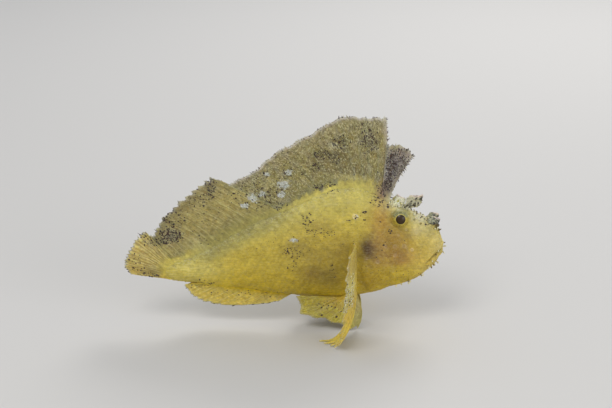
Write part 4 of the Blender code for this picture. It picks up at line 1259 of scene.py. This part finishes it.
def scatter_specks(draw, tree):
    """Numbers of the tree's points where specks stand, and the specks' widths."""
    found, sizes = [], []
    for x, z, half_x, half_z, count, width in SPECKS:
        radius = np.sqrt(draw.random(count)) * (1 + 0.15 * draw.normal(size=count))
        turn = draw.uniform(0, 2 * math.pi, count)
        room = width * (CLUSTER_ROOM if count > CLUSTER else FEW_ROOM)
        taken = []
        for r, t, size in zip(radius, turn, draw.gamma(6.0, width / 6.0, count)):
            place = (x + half_x * r * math.cos(t), 0.0, z + half_z * r * math.sin(t))
            crowded = any(math.dist(place, other) < room for other in taken)
            _, index, distance = tree.find(place)
            if distance < SPECK_REACH and not crowded:
                taken.append(place)
                found.append(index)
                sizes.append(np.clip(size, *SPECK_SIZES))
    return np.array(found), np.array(sizes)


def specks(surfaces, material):
    """Dark specks, each a low dome, alike but not the same on the two sides."""
    whole = joined(surfaces)
    for word, side in SIDES.items():
        draw = np.random.default_rng(61 + int(side))
        facing = (whole.normals[:, 1] * side > FACING) & (whole.points[:, 1] * side > -1.2)
        outer = np.nonzero(facing)[0][::2]
        found, sizes = scatter_specks(draw, flat_tree(whole.points[outer]))
        roots = whole.part(outer[found])
        spin = draw.normal(0.0, 0.6, len(sizes))[:, None]
        roots.lies = roots.lies * np.cos(spin) + np.cross(roots.normals, roots.lies) * np.sin(spin)
        shade = mix(DARK, srgb(78, 54, 38), draw.uniform(0, 0.6, len(sizes)))
        tips = mix(shade, srgb(82, 76, 78), draw.uniform(0.0, 0.4, len(sizes)))
        longer = 1.0 + 0.8 * (roots.along > 0)
        tufts(
            f"dark_specks_{word}", roots, sizes * 0.85, 0.06 + 0.08 * sizes, shade, tips, material,
            stretch=1.0 + draw.uniform(0.0, 0.5, len(sizes)) * longer, sides=7,
        )


def margin(surface, edge):
    """One margin of a fin as (points, direction out, direction along it, places on the unwrap)."""
    if edge == "tips":
        points, along, out, unwrap = surface.tips
        return points, unit(out), unit(along), unwrap
    points, along, unwrap = surface.front
    points, along, unwrap = points[9:], unit(along[9:]), unwrap[9:]
    inward = unit(surface.second[9:] - points)
    return points, unit(-inward + 0.4 * along), along, unwrap


FRINGE_COLOURS = {True: srgb(170, 160, 96), False: srgb(152, 148, 122)}  # paired fins, others
FRINGE_CLEAR = 1.2  # height over the floor below which a margin stays bare


def edge_fringe(fins, material):
    """Small pointed papillae along the fins' margins, white-tipped, with dark ones between."""
    edges = [(name, "tips", 0.5) for name in fins]
    edges += [(name, "front", 0.45) for name in ("dorsal_crest", "dorsal_fin_spiny")]
    edges += [(name, "front", 0.7) for name in fins if name.startswith("pectoral")]
    for seed, (name, edge, spacing) in enumerate(edges):
        draw = np.random.default_rng(700 + seed)
        points, outs, runs, unwrap = margin(fins[name], edge)
        steps = np.linalg.norm(np.diff(points, axis=0), axis=1)
        length = np.concatenate(([0.0], np.cumsum(steps)))
        at = np.arange(spacing, length[-1] - 0.2, spacing)
        at = at + draw.uniform(-0.15, 0.15, len(at))
        index = np.searchsorted(length, at)
        index = index[points[index, 2] > FRINGE_CLEAR]
        count = len(index)
        paired = name.startswith("p")
        tint = FRINGE_COLOURS[paired] * draw.uniform(0.8, 1.15, (count, 1))
        tips = mix(tint, srgb(222, 220, 212), draw.uniform(0.5, 1.0, count) * (0.6 if paired else 1.0))
        dark = draw.random(count) < (0.0 if paired else 0.4 if edge == "front" else 0.22)
        tint[dark], tips[dark] = srgb(56, 48, 48), srgb(72, 66, 68)
        ways = unit(outs[index] + 0.35 * runs[index] * draw.normal(size=(count, 1)))
        sideways = unit(np.cross(ways, runs[index]))
        roots = Surface(points[index] - ways * 0.12, ways, sideways, unwrap[index], tint)
        width = draw.uniform(0.28, 0.55, count)
        height = draw.gamma(5.0, 0.09, count) * (0.6 if paired else 1.4 if edge == "front" else 1.0)
        tufts(
            f"fringe_{name}_{edge}", roots, width, height, tint, tips, material,
            profile=CONE, stretch=0.5, lean=draw.uniform(-0.3, 0.3, count),
        )


# Flaps

LEAF_GRID = (40, 31)
LEAF_START = -0.14  # where a leaf starts, under the skin, as a share of its length


def leaf(name, root, way, flat, length, width, shape, colours, material, seed):
    """A leafy skin flap.

    shape gives its width along it, and colours its dark, its pale and how dark it is.
    """
    rows, columns = LEAF_GRID
    way = unit(np.array(way, float))
    side = unit(np.cross(way, np.array(flat, float)))
    flat = unit(np.cross(side, way))
    draw = np.random.default_rng(seed)
    along, across = np.linspace(LEAF_START, 1, rows), np.linspace(-1, 1, columns)
    along, across = np.meshgrid(along, across, indexing="ij")
    share = np.clip(along, 0, 1)
    swell = np.interp(share, np.linspace(0, 1, len(shape)), shape)
    swell = np.convolve(np.pad(swell[:, 0], 3, mode="edge"), np.ones(7) / 7, "valid")[:, None]
    wobble = Waves(0.9, seed + 3)(np.stack((share * length, np.sign(across), 0 * share), -1))
    half_width = 0.5 * width * swell * (1.0 + 0.10 * wobble * np.abs(across) ** 2)
    curl = length * (0.14 * share**2 - 0.07 * (across * swell) ** 2)
    ripple = 0.10 * np.sin(5 * across + 3 * share + draw.uniform(0, 3)) * share
    reach = along * length * (1.0 - 0.10 * across**2 * share) + 0.5 * across * swell * share
    middle = (
        np.asarray(root)
        + way * reach[..., None]
        + side * (across * half_width)[..., None]
        + flat * (curl + ripple)[..., None]
    )
    veins = np.cos(3.5 * math.pi * across * (1 - 0.4 * share)) ** 2
    half = (0.20 * (1 - 0.45 * share) + 0.05 * veins) * (1 - across**4) + 0.03 * FINE(middle)
    half = np.maximum(half, 0.05)
    half[0] = half[-1] = 0.0
    half[:, 0] = half[:, -1] = 0.0
    thin = shell(middle, half)
    near, far, faces, corners, _, _ = thin
    dark, pale, darkness = colours
    streaked = np.stack((0.35 * share * length, across * half_width, 0.3 + 0.0 * share), -1)
    grain = 1.1 * Waves(0.8, seed + 1)(streaked) + 0.6 * Waves(0.5, seed + 2)(middle) + 0.8 * across
    colour = mix(pale, dark, ease(grain, 0.9 - 1.6 * darkness, 1.4 - 1.6 * darkness))
    colour = mix(colour, srgb(226, 208, 200), ease(share - 0.25 * across, 0.72, 0.95) * 0.85)
    flecks = 0.5 + 0 * share
    made = add_piece(
        f"{name}_leaf", both(near, far), [faces], [corners], both(colour, colour), material,
        both(flecks, flecks),
    )
    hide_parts(name)
    lie = unit(np.gradient(middle, axis=0))
    return two_faces(thin, lie, colour, LEAF_SHOWN, (0, 0), 0.0 * along)


# Widths along a leaf, root to tip, as shares of its greatest width
FAN = (0.34, 0.46, 0.66, 0.88, 1.0, 1.0, 0.90, 0.68, 0.40, 0.12)
SPOON = (0.55, 0.70, 0.88, 1.0, 1.0, 0.88, 0.62, 0.24)


def flaps(material, papilla_look):
    """The leafy flaps over the eyes and on the snout, and the small papillae on them."""
    spotted = (srgb(58, 50, 42), srgb(210, 206, 176), 0.48)
    pale = (srgb(190, 182, 100), srgb(230, 229, 204), 0.10)
    slaty = (srgb(58, 62, 72), srgb(158, 158, 130), 0.70)
    grown = []
    for word, side in SIDES.items():
        place, way, length, width = BROW_FLAPS[word]
        root, normal = on_flank(*place, side)
        root = root + normal * GAP
        colours = spotted if word == "right" else pale
        grown.append(
            leaf(f"brow_flap_{word}", root, way, (0.0, side, 0.0), length, width, FAN, colours, material, 81)
        )
        place, way, length, width = SNOUT_FLAP
        root, normal = on_flank(*place, side)
        way = (way[0], side * way[1], way[2])
        grown.append(
            leaf(
                f"snout_flap_{word}", root + normal * GAP, way, (0.0, -1.0, 0.0), length,
                width, SPOON, slaty, material, 85,
            )
        )
    surface = joined(grown)
    chosen = pick(surface, 0.34, 87)
    roots, draw, count = sprout(surface, chosen, 88)
    tips = np.where(draw.random((count, 1)) < 0.3, srgb(56, 50, 48), srgb(206, 204, 180))
    size = draw.uniform(0.12, 0.3, count)
    tufts(
        "flap_papillae", roots, size, size * 0.6, roots.tint, mix(roots.tint, tips, 0.6 + 0 * size),
        papilla_look, stretch=draw.uniform(1, 2, count), lean=0.5,
    )


def face_fringe(surface, material):
    """Small tags, sparse on the lips and chin, and a pale crowd of them on the crown."""
    x, _, z = surface.points.T
    share, off = mouth_coordinates(x, z)
    lips = (share < 1.0) * hump(np.abs(off) - 0.9, 0.5)
    bottom = along_rows(SECTIONS[:, 2], place_at(x))
    chin = hump(z - bottom - 0.6, 0.8) * (x > 32.0)
    clear = np.hypot(x - EYE[0], z - EYE[1]) > 2.9
    top = back_height(x)
    crown = hump(z - top - 0.4, 1.3) * ease(x, 29.6, 30.6) * (1.0 - ease(x, 34.6, 36.0))
    snout = hump(z - top - 0.2, 0.9) * ease(x, 35.0, 36.0) * (x < 44.2)
    groups = {
        "chin": (np.clip(0.6 * lips + 0.8 * chin, 0, 1) * 0.5, 1.25, 0.45, (0.5, 1.3)),
        "crown": (crown, 0.56, 0.04, (0.4, 1.1)),
        "snout": (snout * 0.5, 0.9, 0.5, (0.3, 0.7)),
        "nose": (hump(np.hypot(x - 43.3, z - 29.6), 0.9) * 0.9, 0.6, 0.6, (0.8, 1.3)),
    }
    for seed, (word, (weight, spacing, dark_share, reach)) in enumerate(groups.items()):
        chosen = pick(surface, spacing, 91 + seed, weight * clear)
        roots, draw, count = sprout(surface, chosen, 95 + seed)
        dark = draw.random(count) < dark_share
        tips = np.where(dark[:, None], srgb(76, 68, 62), srgb(222, 220, 192))
        tint = mix(roots.tint, tips, np.where(dark, 0.5, 0.4))
        tufts(
            f"{word}_tags", roots, draw.uniform(0.3, 0.6, count), draw.uniform(*reach, count), tint,
            tips, material, profile=TAG, lean=draw.uniform(-0.2, 0.6, count), crush=0.6, sides=7,
        )


# Eyes


EYE_RINGS, EYE_AROUND = 72, 96
CORNEA, CORNEA_WIDTH = 0.14, 0.75  # bulge of the clear front, and its reach in radians


def eyeball(side):
    """Grid of an eye's points between its poles, with their angles off and round its axis."""
    tilt = math.pi * np.arange(1, EYE_RINGS) / EYE_RINGS
    turn = 2 * math.pi * np.arange(EYE_AROUND) / EYE_AROUND
    tilt, turn = np.meshgrid(tilt, turn, indexing="ij")
    out = side * (EYE_DEPTH * np.cos(tilt) + CORNEA * hump(tilt, CORNEA_WIDTH))
    radius = EYE_RADIUS * np.sin(tilt)
    x, z = EYE[0] + radius * np.cos(turn), EYE[1] + radius * np.sin(turn)
    return np.stack((x, side * EYE_SIDE + out, z), -1), tilt, turn


def gaze_angles(tilt, turn):
    """Angles between an eye's points, poles last, and the line that it looks along."""
    gaze = math.radians(GAZE_UP)
    level = np.cos(tilt) * math.cos(gaze) + np.sin(tilt) * np.sin(turn) * math.sin(gaze)
    off = np.arccos(np.clip(level, -1.0, 1.0)).ravel()
    return np.concatenate((off, [gaze, math.pi - gaze])).astype(np.float32)


def eyes(material):
    """Both eyeballs, with what their material needs to draw the iris."""
    for word, side in SIDES.items():
        grid, tilt, turn = eyeball(side)
        front = (EYE[0], side * (EYE_SIDE + EYE_DEPTH + CORNEA), EYE[1])
        back = (EYE[0], side * (EYE_SIDE - EYE_DEPTH), EYE[1])
        points = np.concatenate((grid.reshape(-1, 3), [front], [back]))
        number = np.arange(tilt.size).reshape(tilt.shape)
        wrapped = np.concatenate((number, number[:, :1]), 1)
        faces = quads(wrapped)
        start, after = wrapped[:, :-1], wrapped[:, 1:]
        pole, last = np.full((2, EYE_AROUND), [[len(points) - 2], [len(points) - 1]])
        caps = np.concatenate(
            (np.stack((pole, after[0], start[0]), -1), np.stack((last, start[-1], after[-1]), -1))
        )
        if side > 0:
            faces, caps = faces[:, ::-1], caps[:, ::-1]
        disc = np.concatenate((tilt.ravel() / math.pi, [0.0, 1.0]))
        angle = np.concatenate((turn.ravel(), [0.0, 0.0]))
        place = 0.5 + 0.48 * disc[:, None] * np.stack((np.cos(angle), np.sin(angle)), -1)
        made = add_piece(
            f"eye_{word}_ball", points, [faces, caps], [place[faces], place[caps]],
            np.full((len(points), 3), 0.3), material,
        )
        rays = np.stack((np.cos(angle), np.sin(angle), disc * 0.5), -1).astype(np.float32)
        extra = made.data.attributes
        extra.new("Off", "FLOAT", "POINT").data.foreach_set("value", gaze_angles(tilt, turn))
        extra.new("Rays", "FLOAT_VECTOR", "POINT").data.foreach_set("vector", rays.ravel())
        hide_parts(f"eye_{word}")


# Materials


class Graph:
    """A material's nodes, each made in one line."""

    def __init__(self, name):
        self.material = bpy.data.materials.new(name)
        self.material.use_nodes = True
        self.tree = self.material.node_tree
        self.shader = self.tree.nodes["Principled BSDF"]

    def put(self, socket, value):
        if isinstance(value, bpy.types.NodeSocket):
            self.tree.links.new(value, socket)
        else:
            socket.default_value = value

    def node(self, kind, inputs=(), output=0, **settings):
        made = self.tree.nodes.new("ShaderNode" + kind)
        for name, value in settings.items():
            setattr(made, name, value)
        for key, value in dict(inputs).items():
            self.put(made.inputs[key], value)
        return made.outputs[output]

    def finish(self, **values):
        for name, value in values.items():
            self.put(self.shader.inputs[name.replace("_", " ")], value)
        return self.material

    def attribute(self, name, output="Color"):
        return self.node("Attribute", output=output, attribute_name=name)

    def math(self, operation, first, second=0.0):
        return self.node("Math", {0: first, 1: second}, operation=operation)

    def range(self, value, low, high, new_low, new_high):
        inputs = {0: value, 1: low, 2: high, 3: new_low, 4: new_high}
        return self.node("MapRange", inputs, interpolation_type="SMOOTHSTEP")

    def blend(self, first, second, share, way="MIX"):
        made = self.tree.nodes.new("ShaderNodeMix")
        made.data_type, made.blend_type = "RGBA", way
        self.put(made.inputs[0], share)
        self.put(made.inputs[6], first)
        self.put(made.inputs[7], second)
        return made.outputs[2]

    def paint(self, colour, screen_colour, share):
        """The colour with a screen colour laid over it."""
        return self.blend(colour, (*srgb(*screen_colour), 1.0), share)

    def noise(self, place, scale, detail=3.0, roughness=0.55):
        inputs = {"Vector": place, "Scale": scale, "Detail": detail, "Roughness": roughness}
        return self.node("TexNoise", inputs)

    def grey(self, value):
        return self.node("CombineColor", {0: value, 1: value, 2: value})


def tissue(name, see_through, reach, grain, bump, roughness, coat, contrast=0.8):
    """Moist living skin: painted tint, pale flecks, fine grain and light that sinks in.

    The grain's number is how many waves of it there are to a metre, and contrast is how
    strongly it shows in the colour.
    """
    g = Graph(name)
    place = g.node("TexCoord", output="Object")
    run = g.attribute("Run", "Vector")
    lie = g.node("VectorMath", {0: run, 1: (1.0, 0.56, 1.0)}, operation="MULTIPLY")
    long = g.node("VectorMath", {0: run, 1: (1.0, 0.07, 1.0)}, operation="MULTIPLY")
    tint, flecks, lines = g.attribute("Tint"), g.attribute("Flecks", "Fac"), g.attribute("Lines", "Fac")
    broad = g.noise(place, 420.0)
    fine = g.noise(place, grain, 4.0, 0.62)
    cells = g.node("TexVoronoi", {"Vector": place, "Scale": grain * 1.1, "Randomness": 1.0})
    colour = g.blend(tint, g.grey(g.range(broad, 0.3, 0.7, 0.90, 1.10)), 1.0, "MULTIPLY")
    colour = g.blend(colour, g.grey(g.range(fine, 0.3, 0.7, 0.80, 1.14)), contrast, "MULTIPLY")
    colour = g.paint(colour, (120, 84, 34), g.range(g.noise(place, 900.0), 0.56, 0.72, 0.0, 0.22))
    spots = g.range(g.noise(lie, 2.6, 2.0, 0.6), 0.52, 0.63, 0.0, 0.9)
    colour = g.blend(colour, (*FLECK, 1.0), g.math("MULTIPLY", spots, flecks))
    gaps = g.range(g.noise(lie, 1.8, 2.0, 0.6), 0.52, 0.64, 0.0, 0.85)
    colour = g.paint(colour, (76, 70, 50), g.math("MULTIPLY", gaps, flecks))
    strands = g.noise(long, 3.0, 2.0, 0.5)
    bright = g.math("MULTIPLY", g.range(strands, 0.50, 0.62, 0.0, 0.42), lines)
    colour = g.paint(colour, (214, 208, 150), bright)
    dull = g.math("MULTIPLY", g.range(strands, 0.48, 0.38, 0.0, 0.42), lines)
    colour = g.paint(colour, (112, 102, 58), dull)
    height = g.math("ADD", g.math("MULTIPLY", fine, 0.7), g.math("MULTIPLY", cells, 0.5))
    normal = g.node("Bump", {"Strength": bump, "Distance": 0.0001, "Height": height})
    rough = g.range(broad, 0.3, 0.7, roughness - 0.07, roughness + 0.09)
    return g.finish(
        Base_Color=colour,
        Roughness=rough,
        Normal=normal,
        Subsurface_Weight=see_through,
        Subsurface_Radius=(1.0, 0.72, 0.30),
        Subsurface_Scale=reach,
        Coat_Weight=coat,
        Coat_Roughness=0.3,
        Specular_IOR_Level=0.35,
    )


PUPIL, IRIS_RING = 0.56, 0.64  # angles off the line of sight, in radians


def eye_material():
    """A dark pupil, a golden ring and iris with fine rays, painted shade where the ball goes under the lid,
    and a clear wet front.
    """
    g = Graph("eye")
    off = g.attribute("Off", "Fac")
    rays = g.attribute("Rays", "Vector")
    place = g.node("TexCoord", output="Object")
    streaks = g.noise(rays, 9.0, 5.0, 0.6)
    colour = g.paint((*srgb(196, 176, 70), 1.0), (138, 116, 48), g.range(streaks, 0.4, 0.65, 0, 1))
    height = g.node("SeparateXYZ", {0: place}, 2)
    top = g.range(height, (EYE[1] + 0.2) * MM, (EYE[1] + 1.3) * MM, 0.0, 1.0)
    green = g.paint((*srgb(156, 156, 112), 1.0), (98, 100, 60), g.range(streaks, 0.35, 0.7, 0, 1))
    colour = g.blend(colour, green, top)
    mottle = g.range(g.noise(place, 2600.0, 3.0), 0.45, 0.62, 0.0, 0.35)
    colour = g.paint(colour, (92, 78, 40), mottle)
    ring = g.range(g.math("ABSOLUTE", g.math("SUBTRACT", off, IRIS_RING)), 0.0, 0.06, 0.85, 0.0)
    colour = g.paint(colour, (208, 188, 78), ring)
    edge = g.range(off, PUPIL + 0.005, PUPIL + 0.04, 1.0, 0.0)
    colour = g.paint(colour, (30, 22, 10), edge)
    pupil = g.range(off, PUPIL - 0.14, PUPIL, 1.0, 0.0)
    colour = g.paint(colour, (50, 34, 6), pupil)
    # painted shade: the ball darkens where it goes under the lid's edge
    outer = g.range(off, 1.20, 1.40, 0.0, 0.6)
    colour = g.paint(colour, (84, 70, 34), outer)
    return g.finish(
        Base_Color=colour,
        Roughness=0.40,
        Coat_Weight=0.30,
        Coat_Roughness=0.05,
        Specular_IOR_Level=0.2,
    )


# Stage, in metres

FLOOR_REACH, FLOOR_COLOUR = 4.0, (0.58, 0.57, 0.555, 1.0)
STUDIO_COLOUR, STUDIO_STRENGTH = (0.92, 0.95, 1.0, 1.0), 0.58
LIT_POINT = (0.0, 0.0, 0.03)
# Each light: place, energy, size, colour
LIGHTS = {
    "key": ((-0.20, -0.42, 0.58), 2.0, 0.34, (1.0, 0.97, 0.92)),
    "fill": ((0.50, -0.50, 0.18), 1.9, 0.5, (1.0, 0.99, 0.97)),
    "rim": ((0.20, 0.50, 0.42), 1.6, 0.3, (1.0, 0.98, 0.95)),
}
CAMERA_PLACE = (0.0065, -0.4546, 0.1840)
CAMERA_TILT = 72.0  # degrees up from straight down
LENS, SENSOR = 100.0, 36.0


def light(name, place, energy, size, colour):
    """A square soft light that faces the fish."""
    lamp = bpy.data.lights.new(name, "AREA")
    lamp.energy, lamp.size, lamp.color = energy, size, colour
    obj = bpy.data.objects.new(name, lamp)
    obj.location = place
    way = Vector(LIT_POINT) - Vector(place)
    obj.rotation_euler = way.to_track_quat("-Z", "Y").to_euler()
    bpy.context.scene.collection.objects.link(obj)


def floor():
    """The plain pale floor."""
    mesh = bpy.data.meshes.new("floor")
    corners = [(-1, -1), (1, -1), (1, 1), (-1, 1)]
    mesh.from_pydata([(FLOOR_REACH * x, FLOOR_REACH * y, 0) for x, y in corners], [], [(0, 1, 2, 3)])
    obj = bpy.data.objects.new("floor", mesh)
    bpy.context.scene.collection.objects.link(obj)
    mesh.materials.append(Graph("floor").finish(Base_Color=FLOOR_COLOUR, Roughness=0.8))


def stage():
    """The floor, the soft studio light and the camera at the photograph's angle."""
    scene = bpy.context.scene
    scene.view_settings.view_transform = "Standard"
    floor()
    world = bpy.data.worlds.new("studio")
    world.use_nodes = True
    background = world.node_tree.nodes["Background"]
    background.inputs["Color"].default_value = STUDIO_COLOUR
    background.inputs["Strength"].default_value = STUDIO_STRENGTH
    scene.world = world
    for name, settings in LIGHTS.items():
        light(name, *settings)
    camera = bpy.data.cameras.new("camera")
    camera.lens, camera.sensor_width = LENS, SENSOR
    camera.clip_start = 0.01
    obj = bpy.data.objects.new("camera", camera)
    obj.location = CAMERA_PLACE
    obj.rotation_euler = (math.radians(CAMERA_TILT), 0.0, 0.0)
    scene.collection.objects.link(obj)
    scene.camera = obj


def main():
    """Makes the looks, the pieces and the stage."""
    skin_look = tissue("skin", 0.30, 0.0012, 1500.0, 0.35, 0.48, 0.12, contrast=0.45)
    fin_look = tissue("fin", 0.50, 0.0012, 1700.0, 0.30, 0.50, 0.08)
    papilla_look = tissue("papilla", 0.20, 0.0005, 3000.0, 0.15, 0.48, 0.10)
    flap_look = tissue("flap", 0.30, 0.0006, 2600.0, 0.25, 0.52, 0.06)
    body = skin(skin_look)
    fins = all_fins(fin_look)
    skin_granules(body, papilla_look)
    fin_granules(fins, papilla_look)
    patch_papillae(fins, body, papilla_look)
    leg_beads(fins, papilla_look)
    speckled = [fins[name] for name in fins if not name.startswith("pectoral")]
    specks([body, *speckled], papilla_look)
    edge_fringe(fins, papilla_look)
    flaps(flap_look, papilla_look)
    face_fringe(body, papilla_look)
    eyes(eye_material())
    stage()


main()
